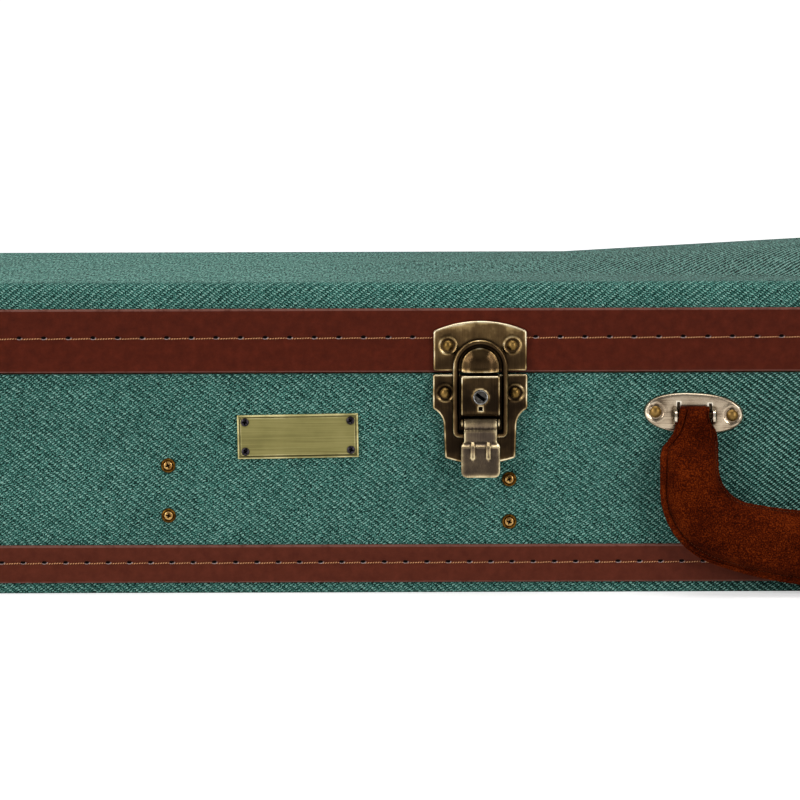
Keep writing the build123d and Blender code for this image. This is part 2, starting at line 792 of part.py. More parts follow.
def knuckle(x, low, high):
    barrel = Rot(0, 90, 0) * Cylinder(hinge_knuckle, high - low)
    return Pos(x + (low + high) / 2, hinge_axis_y, hinge_axis_z) * barrel


def base_leaf(x):
    half, third, gap = hinge_width / 2, hinge_width / 6, 0.2
    low, wall = hinge_axis_z - 22, pot_flat
    leaf_part = box_between((x - half, wall, low), (x + half, wall + hinge_leaf, hinge_axis_z - 3.4))
    leaf_part = fillet(leaf_part.edges().filter_by(Axis.Y).group_by(Axis.Z)[0], 3)
    for a, b in ((-half, -third - gap), (third + gap, half)):
        step = box_between((x + a, wall, hinge_axis_z - 3.6), (x + b, hinge_axis_y, hinge_axis_z - 0.4))
        leaf_part = leaf_part + (step & keyhole(-10, 0, base_height)) + knuckle(x, a, b)
    bore = Pos(x, hinge_axis_y, hinge_axis_z) * Rot(0, 90, 0) * Cylinder(hinge_pin_radius, 100)
    return leaf_part - bore


def lid_leaf(x):
    half, third = hinge_width / 2, hinge_width / 6
    wall, high = pot_flat + band_thickness, hinge_axis_z + 22
    leaf_part = box_between((x - half, wall, hinge_axis_z + 3.4), (x + half, wall + hinge_leaf, high))
    leaf_part = fillet(leaf_part.edges().filter_by(Axis.Y).group_by(Axis.Z)[-1], 3)
    tongue = box_between((x - third, wall, hinge_axis_z), (x + third, wall + hinge_leaf, hinge_axis_z + 4))
    leaf_part = leaf_part + tongue + knuckle(x, -third, third)
    bore = Pos(x, hinge_axis_y, hinge_axis_z) * Rot(0, 90, 0)
    return leaf_part - bore * Cylinder(hinge_pin_radius + running_gap, 100)


def pierce(parts, nodes, fasteners):
    # Each covering and wall gets the holes of the fasteners that pass through it.
    for node in nodes:
        for fastener in fasteners:
            parts[node] = parts[node] - parts[fastener]


def build():
    parts = {}
    for group in (base_shells, base_inside, lid_shells, compartment, partition_screws):
        parts.update(group())
    parts["base_leather_band"] = leather_band(base_band, base_stitch_z)
    parts["lid_leather_band"] = leather_band(lid_band, lid_stitch_z)
    for group in (latches, name_plate, handle, handle_fittings, hinges):
        parts.update(group())
    base_fasteners = [
        "partition_screws",
        "partition_cup_washers",
        "latch_base_rivets",
        "name_plate_screws",
        "handle_rivets",
        "hinge_base_rivets",
    ]
    base_layers = ["base_cloth_sides", "base_wall_neck_front", "base_wall_neck_back", "base_wall_pot"]
    base_layers += ["base_lining", "base_valance", "head_partition", "neck_partition"]
    pierce(parts, base_layers, base_fasteners)
    lid_layers = ["lid_leather_band", "lid_cloth_cover", "lid_side_wall", "lid_lining"]
    pierce(parts, lid_layers, ["latch_strike_rivets", "hinge_lid_rivets"])
    pierce(parts, ["handle_bracket_left", "handle_bracket_right"], ["handle_rivets"])
    pierce(parts, ["hinge_base_leaves"], ["hinge_base_rivets"])
    pierce(parts, ["hinge_lid_leaves"], ["hinge_lid_rivets"])
    pierce(parts, ["head_partition", "neck_partition"], ["compartment_pivot_pins"])
    return parts


os.makedirs("parts", exist_ok=True)
for node, shape in build().items():
    export_step(shape, f"parts/{node}.step")
    print(node, round(shape.volume, 1))
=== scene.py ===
from functools import partial
from math import atan2, ceil, cos, degrees, hypot, pi, radians, sin, sqrt, tan
from types import SimpleNamespace

import bmesh
import bpy
import numpy as np
from mathutils import Matrix, Vector, geometry, kdtree


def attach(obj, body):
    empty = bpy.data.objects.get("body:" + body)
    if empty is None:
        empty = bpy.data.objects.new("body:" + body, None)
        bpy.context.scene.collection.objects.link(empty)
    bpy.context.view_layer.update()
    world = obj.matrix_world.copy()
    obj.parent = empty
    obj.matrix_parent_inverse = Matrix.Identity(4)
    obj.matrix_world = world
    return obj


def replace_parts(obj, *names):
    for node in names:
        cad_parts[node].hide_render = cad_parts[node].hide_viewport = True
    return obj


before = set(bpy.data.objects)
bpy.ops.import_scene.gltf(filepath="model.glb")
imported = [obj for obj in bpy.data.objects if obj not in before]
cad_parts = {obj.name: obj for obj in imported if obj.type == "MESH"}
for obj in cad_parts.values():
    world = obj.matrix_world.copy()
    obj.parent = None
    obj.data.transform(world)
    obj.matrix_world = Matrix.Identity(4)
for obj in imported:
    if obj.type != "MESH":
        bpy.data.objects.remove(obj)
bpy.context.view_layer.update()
mm = 0.001
print("frame loaded:", len(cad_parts), "nodes")


def linear(hexColour):
    # an sRGB hex colour as the linear values that sockets take
    channels = [int(hexColour[i : i + 2], 16) / 255 for i in (1, 3, 5)]
    return (*(c / 12.92 if c <= 0.04045 else ((c + 0.055) / 1.055) ** 2.4 for c in channels), 1.0)


def feed(tree, node, inputs):
    # inputs are nodes, sockets, hex colours or values
    for name, value in inputs.items():
        if isinstance(value, bpy.types.Node):
            value = value.outputs[0]
        if isinstance(value, bpy.types.NodeSocket):
            tree.links.new(value, node.inputs[name])
        else:
            node.inputs[name].default_value = linear(value) if isinstance(value, str) else value


def addNode(tree, kind, inputs=(), stops=(), **settings):
    # one shader node with its settings and links: inputs go by name or in order, and stops are
    # a ramp's (place, hex colour)
    made = tree.nodes.new("ShaderNode" + kind)
    for name, value in settings.items():
        setattr(made, name, value)
    feed(tree, made, inputs if isinstance(inputs, dict) else dict(enumerate(inputs)))
    for _ in stops[2:]:
        made.color_ramp.elements.new(1.0)
    for i, (place, colour) in enumerate(stops):
        point = made.color_ramp.elements[i]
        point.position, point.color = place, linear(colour)
    return made


def newFinish(name, surface):
    # a material, with a function that adds nodes to it and one that feeds its surface shader
    made = bpy.data.materials.new(name)
    made.use_nodes = True
    tree = made.node_tree
    coat = partial(feed, tree, tree.nodes["Principled BSDF"])
    coat(surface)
    return made, partial(addNode, tree), coat


# Wool twill glued on the walls: bands of leaning floats, dark between floats and bands with dark yarn and
# painted shade
twill = dict(
    warpPitch=0.94,
    weftPitch=0.72,
    weft=(0.33, 0.33, 0.42),  # centre and half width in the band, half height in the row
    warp=(0.8, 0.24, 0.5),
    lean=0.8,
    warpHeight=0.55,
    drifts=(11, 1.7),  # sizes of the slow drift of whole bands and of the threads' own wander
    wander=0.95,
    calm=0.45,
    shades=[(0.0, "#030c0b"), (0.25, "#163731"), (0.5, "#376b61"), (0.75, "#589588"), (1.0, "#8cb2a6")],
    relief=0.25,
)


def threadFloats(add, band, row, shape, slant):
    # lens-shaped floats along one band of the twill: their height, and the number of each
    centre, halfWidth, halfHeight = shape
    across = add("Math", [band, centre], operation="SUBTRACT")
    row = add("Math", [across, slant, row], operation="MULTIPLY_ADD")
    number = add("Math", [row], operation="FLOOR")
    up = add("Math", [row], operation="FRACT")
    up = add("Math", [up, 1 / halfHeight, -0.5 / halfHeight], operation="MULTIPLY_ADD")
    across = add("Math", [across, 1 / halfWidth], operation="MULTIPLY")
    lens = add("Math", [up, up], operation="MULTIPLY")
    lens = add("Math", [across, across, lens], operation="MULTIPLY_ADD")
    lens = add("Math", [1.0, lens], operation="SUBTRACT", use_clamp=True)
    return add("Math", [lens, 0.5], operation="POWER"), number


def woolTwill(name, pitches, calmFrom, calmTo, grain=(1.9, 1.9), ridgeShade=0.0, lift=-0.14):
    # a negative first pitch makes the bands rise to the right; between calmFrom and calmTo along the wall
    # the threads lie straighter and ridges of threads show in painted relief shade, which also darkens that
    # stretch; grain is the fibres' fineness, and lift shifts the whole tone, on the lid's top raising it as
    # painted light
    fuzz = {"Sheen Weight": 0.03, "Sheen Roughness": 0.5}
    made, add, coat = newFinish(name, {"Roughness": 0.92, "Specular IOR Level": 0.06, **fuzz})
    place = add("UVMap", uv_map="weave")
    along = add("SeparateXYZ", [place]).outputs[0]
    calmed = {0: along, 1: calmFrom * mm, 2: calmTo * mm}
    drifts = []
    for size in twill["drifts"]:
        drift = add("TexNoise", {"Vector": place, "Scale": 1 / (size * mm), "Detail": 1.0})
        drifts.append(add("VectorMath", [drift.outputs["Color"], (0.5, 0.5, 0.5)], operation="SUBTRACT"))
    calm = add("MapRange", {**calmed, 3: twill["wander"], 4: twill["calm"]})
    wander = add("VectorMath", {0: drifts[1], "Scale": calm}, operation="SCALE")
    drift = add("VectorMath", [drifts[0], wander], operation="ADD")
    drift = add("VectorMath", [drift, (1.6, 1.6, 0)], operation="MULTIPLY")
    counts = (1 / (pitches[0] * mm), 1 / (pitches[1] * mm), 0)
    threads = add("VectorMath", [place, counts, drift], operation="MULTIPLY_ADD")
    split = add("SeparateXYZ", [threads])
    u, v = split.outputs[0], split.outputs[1]

    # four-end twill: each band of floats is four threads wide and shifts one thread a row
    repeat = add("Math", [u, v], operation="ADD")
    repeat = add("Math", [repeat, 0.25], operation="MULTIPLY")
    line = add("Math", [repeat], operation="FLOOR")
    band = add("Math", [repeat], operation="FRACT")
    row = add("Math", [v, -1.0], operation="MULTIPLY")
    slant = 4 * twill["lean"] / (1 + twill["lean"])
    weft, weftNumber = threadFloats(add, band, row, twill["weft"], slant)
    warp, warpNumber = threadFloats(add, band, row, twill["warp"], 4.0)
    warp = add("Math", [warp, twill["warpHeight"]], operation="MULTIPLY")
    height = add("Math", [weft, warp], operation="MAXIMUM")
    onTop = add("Math", [weft, warp], operation="GREATER_THAN")
    number = add("Mix", {0: onTop, 2: warpNumber, 3: weftNumber})
    dyed = add("CombineXYZ", [line, number.outputs[0], onTop])
    dyed = add("TexWhiteNoise", {"Vector": dyed}, noise_dimensions="3D")

    # melange: each float has its own shade, and loose fibres break it up
    fibres = add("VectorMath", [threads, (*grain, 0)], operation="MULTIPLY")
    fibres = add("TexNoise", {"Vector": fibres, "Scale": 1.0, "Detail": 2.0, "Roughness": 0.8})
    # floats are lighter on their crests and darker into the gaps: partly the dark yarn, partly painted relief
    # shade
    shade = add("Math", [height, 0.9, lift - 1.7], operation="MULTIPLY_ADD")
    # between calmFrom and calmTo more painted relief shade is added, which darkens the wall there on the
    # whole
    ridge = add("MapRange", {**calmed, 3: 0.0, 4: ridgeShade})
    reliefShade = add("Math", [height, 0.68], operation="SUBTRACT")
    for layer, share in ((fibres, 3.4), (dyed, 0.28), (ridge, reliefShade)):
        shade = add("Math", [layer, share, shade], operation="MULTIPLY_ADD")
    colour = add("ValToRGB", [shade], twill["shades"])
    cloud = add("TexNoise", {"Vector": place, "Scale": 1 / (30 * mm), "Detail": 3.0})
    cloud = add("MapRange", [cloud, 0.3, 0.7, 0.93, 1.1])
    colour = add("VectorMath", {0: colour, "Scale": cloud}, operation="SCALE")
    coat({"Base Color": colour})
    coat({"Normal": add("Bump", {"Strength": 0.7, "Distance": twill["relief"] * mm, "Height": height})})
    return made


# Pigmented leather, rolled smooth: an even red brown with a fine grain and a soft gloss
leather = dict(
    lid=("#3f150b", "#4c1b0e", "#5a2113"),
    base=("#4a1e14", "#562619", "#622c1e"),
    # the edges' colours are a painted highlight along the bands' rounded edges
    edgeHighlight=("#42170c", "#6f473e", "#6f473e"),
    grain=0.8,
    relief=0.05,
)


def pigmentedLeather(name, shades):
    made, add, coat = newFinish(name, {"Roughness": 0.42, "Specular IOR Level": 0.06})
    place = add("UVMap", uv_map="weave")
    cloud = add("TexNoise", {"Vector": place, "Scale": 1 / (5 * mm), "Detail": 6.0, "Roughness": 0.7})
    cloud = add("MapRange", [cloud, 0.25, 0.75])
    coat({"Base Color": add("ValToRGB", [cloud], list(zip((0.0, 0.5, 1.0), shades)))})
    cells = add("TexVoronoi", {"Vector": place, "Scale": 1 / (leather["grain"] * mm)})
    pores = add("TexNoise", {"Vector": place, "Scale": 1 / (0.4 * mm), "Detail": 3.0})
    grain = add("Math", [cells.outputs[0], pores], operation="ADD")
    coat({"Normal": add("Bump", {"Strength": 0.5, "Distance": leather["relief"] * mm, "Height": grain})})
    return made


# Waxed two-ply thread, twisted: copper, with a painted highlight along each ply and painted shade in the
# lines between them
thread = dict(shades=("#301206", "#96522a", "#eaae7c"), plyPitch=1.25)


def waxedThread(name, shades):
    made, add, coat = newFinish(name, {"Roughness": 0.6, "Specular IOR Level": 0.15})
    place = add("SeparateXYZ", [add("UVMap", uv_map="weave")])
    twist = 2 * pi / (thread["plyPitch"] * mm)
    turn = add("Math", [place.outputs[0], twist, place.outputs[1]], operation="MULTIPLY_ADD")
    ply = add("Math", [turn], operation="SINE")
    shade = add("MapRange", [ply, -1.0, 1.0])
    coat({"Base Color": add("ValToRGB", [shade], list(zip((0.0, 0.45, 1.0), shades)))})
    coat({"Normal": add("Bump", {"Strength": 1.0, "Distance": 0.12 * mm, "Height": ply})})
    return made


# Plated steel, brushed and then antiqued: dark in the hollows from patina and painted shade, rubbed bright
# along the edges
def antiqueBrass(
    name, stops, brush, pressed=True, roughness=0.3, brushing=0.12, patinaAndShadeReach=3.0, cloudy=0.12, line=0.17
):
    # brush is the direction of the brushing as an axis number; pressed pieces carry their wear, and
    # painted highlights, shade and reflections, as an attribute; on the others wear follows their bevelled
    # edges
    made, add, coat = newFinish(name, {"Metallic": 1.0})
    place = add("TexCoord").outputs["Object"]
    stretch = [1 / (line * mm)] * 3
    stretch[brush] = 1 / (30 * mm)
    lines = add("VectorMath", [place, tuple(stretch)], operation="MULTIPLY")
    lines = add("TexNoise", {"Vector": lines, "Scale": 1.0, "Detail": 2.0, "Roughness": 0.5})
    patina = add("TexNoise", {"Vector": place, "Scale": 1 / (9 * mm), "Detail": 3.0})
    patina = add("MapRange", [patina, 0.3, 0.7, -cloudy, cloudy])
    shade = add("MapRange", [lines, 0.3, 0.7, 0.4 - brushing / 2, 0.4 + brushing / 2])
    shade = add("Math", [shade, patina], operation="ADD")
    if pressed:
        edge = add("Attribute", attribute_name="lighterTone").outputs["Fac"]
    else:
        normal = add("NewGeometry").outputs["Normal"]
        rounded = add("Bevel", {"Radius": 0.7 * mm}, samples=8)
        edge = add("VectorMath", [rounded, normal], operation="DOT_PRODUCT").outputs["Value"]
        edge = add("MapRange", [edge, 0.99, 0.8, 0.0, 1.0])
    rubbed = add("MapRange", [patina, -cloudy, cloudy, 0.28, 0.64])
    edge = add("Math", [edge, rubbed], operation="MULTIPLY")
    # ambient occlusion darkens the hollows: patina in them, and painted shade where other parts come close
    hollow = add("AmbientOcclusion", {"Distance": patinaAndShadeReach * mm}, samples=8).outputs["AO"]
    hollow = add("MapRange", [hollow, 0.3, 0.95, -0.4, 0.0])
    shade = add("Math", [shade, edge], operation="ADD")
    shade = add("Math", [shade, hollow], operation="ADD")
    coat({"Base Color": add("ValToRGB", [shade], stops)})
    rough = add("MapRange", [lines, 0.3, 0.7, roughness + 0.05, roughness - 0.05])
    coat({"Roughness": rough})
    coat({"Normal": add("Bump", {"Strength": 0.2, "Distance": 0.015 * mm, "Height": lines})})
    return made


# Turned or cast metal with no brushing, for rivets, screws and the key core: an even sheen with
# faint stains
def plainMetal(name, colour, lighterTone, roughness, spot=1.2):
    made, add, coat = newFinish(name, {"Metallic": 1.0})
    place = add("TexCoord").outputs["Object"]
    spots = add("TexNoise", {"Vector": place, "Scale": 1 / (spot * mm), "Detail": 4.0})
    shade = add("MapRange", [spots, 0.35, 0.7])
    coat({"Base Color": add("ValToRGB", [shade], [(0.0, colour), (1.0, lighterTone)])})
    rough = add("MapRange", [spots, 0.3, 0.7, roughness - 0.05, roughness + 0.08])
    coat({"Roughness": rough})
    return made


# Suede, the split side of leather: a soft nap, mottled where it was brushed one way or the other
suede = dict(deep="#190400", colour="#400f01", lit="#722b08", sheen="#c06a3a")


def brushedSuede(name):
    nap = {"Sheen Weight": 0.02, "Sheen Roughness": 0.4, "Sheen Tint": suede["sheen"]}
    made, add, coat = newFinish(name, {"Roughness": 0.95, "Specular IOR Level": 0.03, **nap})
    place = add("TexCoord").outputs["Object"]
    broad, middle, nap = (
        add("TexNoise", {"Vector": place, "Scale": 1 / (size * mm), "Detail": detail, "Roughness": rough})
        for size, detail, rough in ((16, 3.0, 0.5), (2.2, 4.0, 0.5), (0.6, 2.0, 0.8))
    )
    shade = add("Math", [middle, 0.5, broad], operation="MULTIPLY_ADD")
    shade = add("Math", [nap, 2.6, shade], operation="MULTIPLY_ADD")
    shade = add("MapRange", [shade, 1.6, 2.55])
    stops = [(0.0, suede["deep"]), (0.5, suede["colour"]), (1.0, suede["lit"])]
    coat({"Base Color": add("ValToRGB", [shade], stops)})
    coat({"Normal": add("Bump", {"Strength": 0.7, "Distance": 0.18 * mm, "Height": nap})})
    return made


# Plush, a short cut pile: dark into the pile and bright along its brushed tips
def cutPlush(name, deep, colour, tips):
    pile = {"Sheen Weight": 0.7, "Sheen Roughness": 0.35, "Sheen Tint": tips}
    made, add, coat = newFinish(name, {"Roughness": 0.95, "Specular IOR Level": 0.1, **pile})
    place = add("TexCoord").outputs["Object"]
    swept = add("TexNoise", {"Vector": place, "Scale": 1 / (60 * mm), "Detail": 2.0, "Distortion": 0.5})
    tufts = add("TexNoise", {"Vector": place, "Scale": 1 / (1.3 * mm), "Detail": 3.0})
    shade = add("Math", [swept, 0.35, tufts], operation="MULTIPLY_ADD")
    shade = add("MapRange", [shade, 0.4, 1.0])
    coat({"Base Color": add("ValToRGB", [shade], [(0.0, deep), (0.55, colour), (1.0, tips)])})
    coat({"Normal": add("Bump", {"Strength": 0.8, "Distance": 0.5 * mm, "Height": tufts})})
    return made


# Birch plywood: pale, with long fine grain in the face
def birchPly(name):
    made, add, coat = newFinish(name, {"Roughness": 0.6})
    place = add("TexCoord").outputs["Object"]
    grain = add("VectorMath", [place, (25, 160, 700)], operation="MULTIPLY")
    grain = add("TexNoise", {"Vector": grain, "Scale": 1.0, "Detail": 5.0, "Distortion": 0.6})
    shade = add("MapRange", [grain, 0.3, 0.7])
    stops = [(0.0, "#a98357"), (0.5, "#c9a676"), (1.0, "#dbc094")]
    coat({"Base Color": add("ValToRGB", [shade], stops)})
    coat({"Normal": add("Bump", {"Strength": 0.2, "Distance": 0.1 * mm, "Height": grain})})
    return made


# Shades of each plating, from the black of its hollows, patina and painted shade, over its plain faces
# at 0.4 to its worn edges and painted highlights
brownedBrass = [(0.0, "#080402"), (0.4, "#3b2c1b"), (0.62, "#5f4a2e"), (0.8, "#a98e5f"), (1.0, "#f8e8c2")]
darkBrass = [(0.0, "#070402"), (0.4, "#221910"), (0.62, "#443420"), (0.8, "#a0865a"), (1.0, "#f4e2ba")]
greyBrass = [(0.0, "#0c0906"), (0.4, "#51453a"), (0.62, "#766650"), (0.8, "#a89470"), (1.0, "#e2d0a6")]
oliveBrass = [(0.0, "#1a1508"), (0.4, "#8b8350"), (0.7, "#a39a66"), (1.0, "#e2d59c")]
paleBrass = [(0.0, "#0c0704"), (0.3, "#7c6a56"), (0.45, "#b6a48c"), (0.7, "#d0c0a8"), (1.0, "#fff4e0")]
finishes = dict(
    # on the body's wall the painted ridge shade lies beside the handle and also stands in for its shadow
    bodyTwill=woolTwill("woolTwillFalling", (twill["warpPitch"], twill["weftPitch"]), 540, 630, ridgeShade=0.7),
    lidTwill=woolTwill("woolTwillRising", (-twill["warpPitch"], twill["weftPitch"]), 100, 300),
    # the lid's top has its tone lifted, painted light where it faces the lamps, and painted relief shade on
    # its arch
    topTwill=woolTwill(
        "woolTwillOnTop", (-0.7, twill["warpPitch"]), -220, -60, grain=(0.8, 0.12), ridgeShade=1.3, lift=0.04
    ),
    lidLeather=pigmentedLeather("pigmentedLeatherLid", leather["lid"]),
    baseLeather=pigmentedLeather("pigmentedLeatherBase", leather["base"]),
    edgeHighlight=pigmentedLeather("leatherEdgePaintedHighlight", leather["edgeHighlight"]),
    waxedThread=waxedThread("waxedThread", thread["shades"]),
    latchBrass=antiqueBrass("antiqueBrassBrushedUpright", brownedBrass, 2, patinaAndShadeReach=2.0),
    lockBrass=antiqueBrass("antiqueBrassLockPlate", darkBrass, 2, patinaAndShadeReach=2.0),
    leverBrass=antiqueBrass("antiqueBrassLever", greyBrass, 2, patinaAndShadeReach=2.0),
    bailBrass=antiqueBrass("antiqueBrassBail", brownedBrass, 2, patinaAndShadeReach=0.8),
    wireBrass=antiqueBrass("antiqueBrassWire", brownedBrass, 2, pressed=False),
    plateBrass=antiqueBrass(
        "antiqueBrassNamePlate", oliveBrass, 0, roughness=0.38, brushing=0.17, patinaAndShadeReach=1.2, cloudy=0.05, line=0.4
    ),
    bracketBrass=antiqueBrass(
        "paleSatinBrass", paleBrass, 0, roughness=0.25, brushing=0.13, patinaAndShadeReach=2.0, cloudy=0.13, line=0.3
    ),
    rivetBrass=plainMetal("turnedBrass", "#6b5228", "#927341", 0.38, 3.0),
    screwBrass=plainMetal("brassPlatedScrew", "#7a5628", "#d0a868", 0.25),
    washerBrass=plainMetal("brownedBrassCup", "#3a2209", "#805a20", 0.32),
    # a darker chrome for the key core's sunk disc
    keyFace=plainMetal("darkerSunkDiscChrome", "#2a2826", "#5c5854", 0.3),
    chrome=plainMetal("polishedChrome", "#6a6866", "#c4c2be", 0.15),
    blackSteel=plainMetal("blackOxideSteel", "#1a171a", "#4a444a", 0.3),
    # near black in recesses and the key slot: painted shade, on the name plate's black screws also their own
    # colour
    recessShade=plainMetal("recessPaintedShade", "#050405", "#120f12", 0.6),
    suede=brushedSuede("brushedSuede"),
    seamThread=waxedThread("seamThread", ("#2e0d03", "#5e270f", "#965232")),
    plush=cutPlush("cutPlush", "#2e1c10", "#5b3a22", "#9c7148"),
    plywood=birchPly("birchPlywood"),
)
print("finishes made:", len(finishes))

# CAD pieces that keep their own shape, and the finish of each
carriedOver = {
    "plywood": ["base_bottom_panel", "base_wall_", "lid_side_wall", "lid_top_panel", "head_partition",
                "neck_partition", "compartment_rails"],
    "wireBrass": ["latch_pivot_pins", "hinge_base_leaves", "hinge_lid_leaves", "hinge_pins",
                  "compartment_pivot_pins", "handle_pins"],
    "rivetBrass": ["latch_base_rivets", "latch_strike_rivets", "handle_rivets", "hinge_base_rivets",
                   "hinge_lid_rivets"],
}
for finish, starts in carriedOver.items():
    for name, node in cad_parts.items():
        if name.startswith(tuple(starts)):
            node.data.materials.clear()
            node.data.materials.append(finishes[finish])

# Plan of the case, in millimetres, as the CAD has it
case = dict(
    length=1070.0,
    neckHalf=105.0,
    potRadius=205.0,
    potFlat=192.0,
    flatBlend=80.0,
    crevice=45.0,
    corner=45.0,
    baseTop=97.5,
    lidBottom=98.1,
    lidTop=137.6,
    edge=4.0,
    lowerEdge=0.8,
    step=5.0,
)
potX = case["length"] / 2 - case["potRadius"]


def closedLoop(points, normals=None):
    # an outline walked anticlockwise: its points, outward normals and running length
    points = np.array(points, dtype=float)
    ahead = np.roll(points, -1, axis=0) - points
    gaps = np.hypot(*ahead.T)
    if normals is None:
        along = ahead / gaps[:, None]
        along = along + np.roll(along, 1, axis=0)
        # longer at a corner, as a mitre is
        along = 2 * along / np.maximum(np.hypot(*along.T), 0.7)[:, None] ** 2
        normals = np.stack([along[:, 1], -along[:, 0]], axis=1)
    return dict(points=points, normals=np.array(normals), lengths=np.concatenate([[0], np.cumsum(gaps)]))


def walkPlan():
    # the keyhole outline of the case, seen from above
    headX = -case["length"] / 2
    corner, half, radius, blend = case["corner"], case["neckHalf"], case["potRadius"], case["flatBlend"]
    hollowY = half + case["crevice"]
    hollowX = potX - sqrt((radius + case["crevice"]) ** 2 - hollowY**2)
    blendY = case["potFlat"] - blend
    blendX = sqrt((radius - blend) ** 2 - blendY**2)
    toHollow = degrees(atan2(-hollowY, hollowX - potX))
    toBlend = degrees(atan2(-blendY, -blendX))
    side = []

    def line(start, end, normal):
        count = ceil(hypot(end[0] - start[0], end[1] - start[1]) / case["step"])
        for i in range(count):
            t = i / count
            side.append((*(a + (b - a) * t for a, b in zip(start, end)), *normal))

    def arc(centre, size, start, turn, hollow=1):
        count = ceil(abs(radians(turn)) * size / (0.8 * case["step"]))
        for i in range(count):
            a = radians(start + turn * i / count)
            point = (centre[0] + size * cos(a), centre[1] + size * sin(a))
            side.append((*point, hollow * cos(a), hollow * sin(a)))

    line((headX, 0), (headX, corner - half), (-1, 0))
    arc((headX + corner, corner - half), corner, 180, 90)
    line((headX + corner, -half), (hollowX, -half), (0, -1))
    arc((hollowX, -hollowY), case["crevice"], 90, toHollow + 90, hollow=-1)
    arc((potX, 0), radius, toHollow, toBlend - toHollow)
    arc((potX - blendX, -blendY), blend, toBlend, -90 - toBlend)
    line((potX - blendX, -case["potFlat"]), (potX + blendX, -case["potFlat"]), (0, -1))
    arc((potX + blendX, -blendY), blend, -90, -90 - toBlend)
    arc((potX, 0), radius, -180 - toBlend, 180 + toBlend)
    side.append((potX + radius, 0, 1, 0))
    back = [(x, -y, nx, -ny) for x, y, nx, ny in reversed(side[1:-1])]
    rows = np.array(side + back)
    return closedLoop(rows[:, :2], rows[:, 2:])


plan = walkPlan()
planTotal = plan["lengths"][-1]


def planAt(length):
    # point and outward normal at a running length
    length = length % planTotal
    lengths, points, normals = plan["lengths"], plan["points"], plan["normals"]
    i = int(np.searchsorted(lengths, length, side="right") - 1)
    t = (length - lengths[i]) / (lengths[i + 1] - lengths[i])
    j = (i + 1) % len(points)
    point = points[i] * (1 - t) + points[j] * t
    normal = normals[i] * (1 - t) + normals[j] * t
    return point, normal / np.hypot(*normal)


def newShell():
    # a piece in the making: slots are its faces' materials, where it has several
    return SimpleNamespace(points=[], faces=[], uvs=[], slots=[])


def addShell(shell, one, move=lambda *point: point):
    # another shell with its points moved
    start = len(shell.points)
    shell.points += [move(*point) for point in one.points]
    shell.faces += [tuple(start + i for i in face) for face in one.faces]
    shell.uvs += one.uvs
    shell.slots += one.slots


def spin(u, v, angle):
    return u * cos(angle) - v * sin(angle), u * sin(angle) + v * cos(angle)


def roundTurns(count):
    return [2 * pi * i / count for i in range(count)]


def addGrid(shell, start, rows, around, weave, closed=True, turn=1):
    # faces between rows of points, with their weave coordinates by column and row
    for j in range(rows - 1):
        for i in range(around if closed else around - 1):
            corners = [(i, j), (i + 1, j), (i + 1, j + 1), (i, j + 1)]
            if turn < 0:
                corners = corners[:1] + corners[:0:-1]
            shell.faces.append(tuple(start + q * around + p % around for p, q in corners))
            shell.uvs.append([weave(p, q) for p, q in corners])


def addCaps(shell, first, last, count, turn=1):
    # flat ends on the first and the last ring of a tube
    shell.faces += [tuple(range(first, first + count))[::-turn], tuple(range(last, last + count))[::turn]]
    shell.uvs += [[(0, 0)] * count] * 2


def addSweep(shell, loop, profile, top=None):
    # a profile of (inset, height) drawn along the whole outline; a third item, "top",
    # measures that row's height from the surface that top gives
    start, count, travel = len(shell.points), len(loop["points"]), [profile[0][1]]
    for (a, b, *_), (c, d, *_) in zip(profile, profile[1:]):
        travel.append(travel[-1] + hypot(c - a, d - b))
    for inset, z, *origin in profile:
        row = loop["points"] - loop["normals"] * inset
        heights = top(row[:, 0], row[:, 1]) + z if origin else np.full(count, float(z))
        shell.points += [(x, y, h) for (x, y), h in zip(row, heights)]
    addGrid(shell, start, len(profile), count, lambda i, j: (loop["lengths"][i], travel[j]))


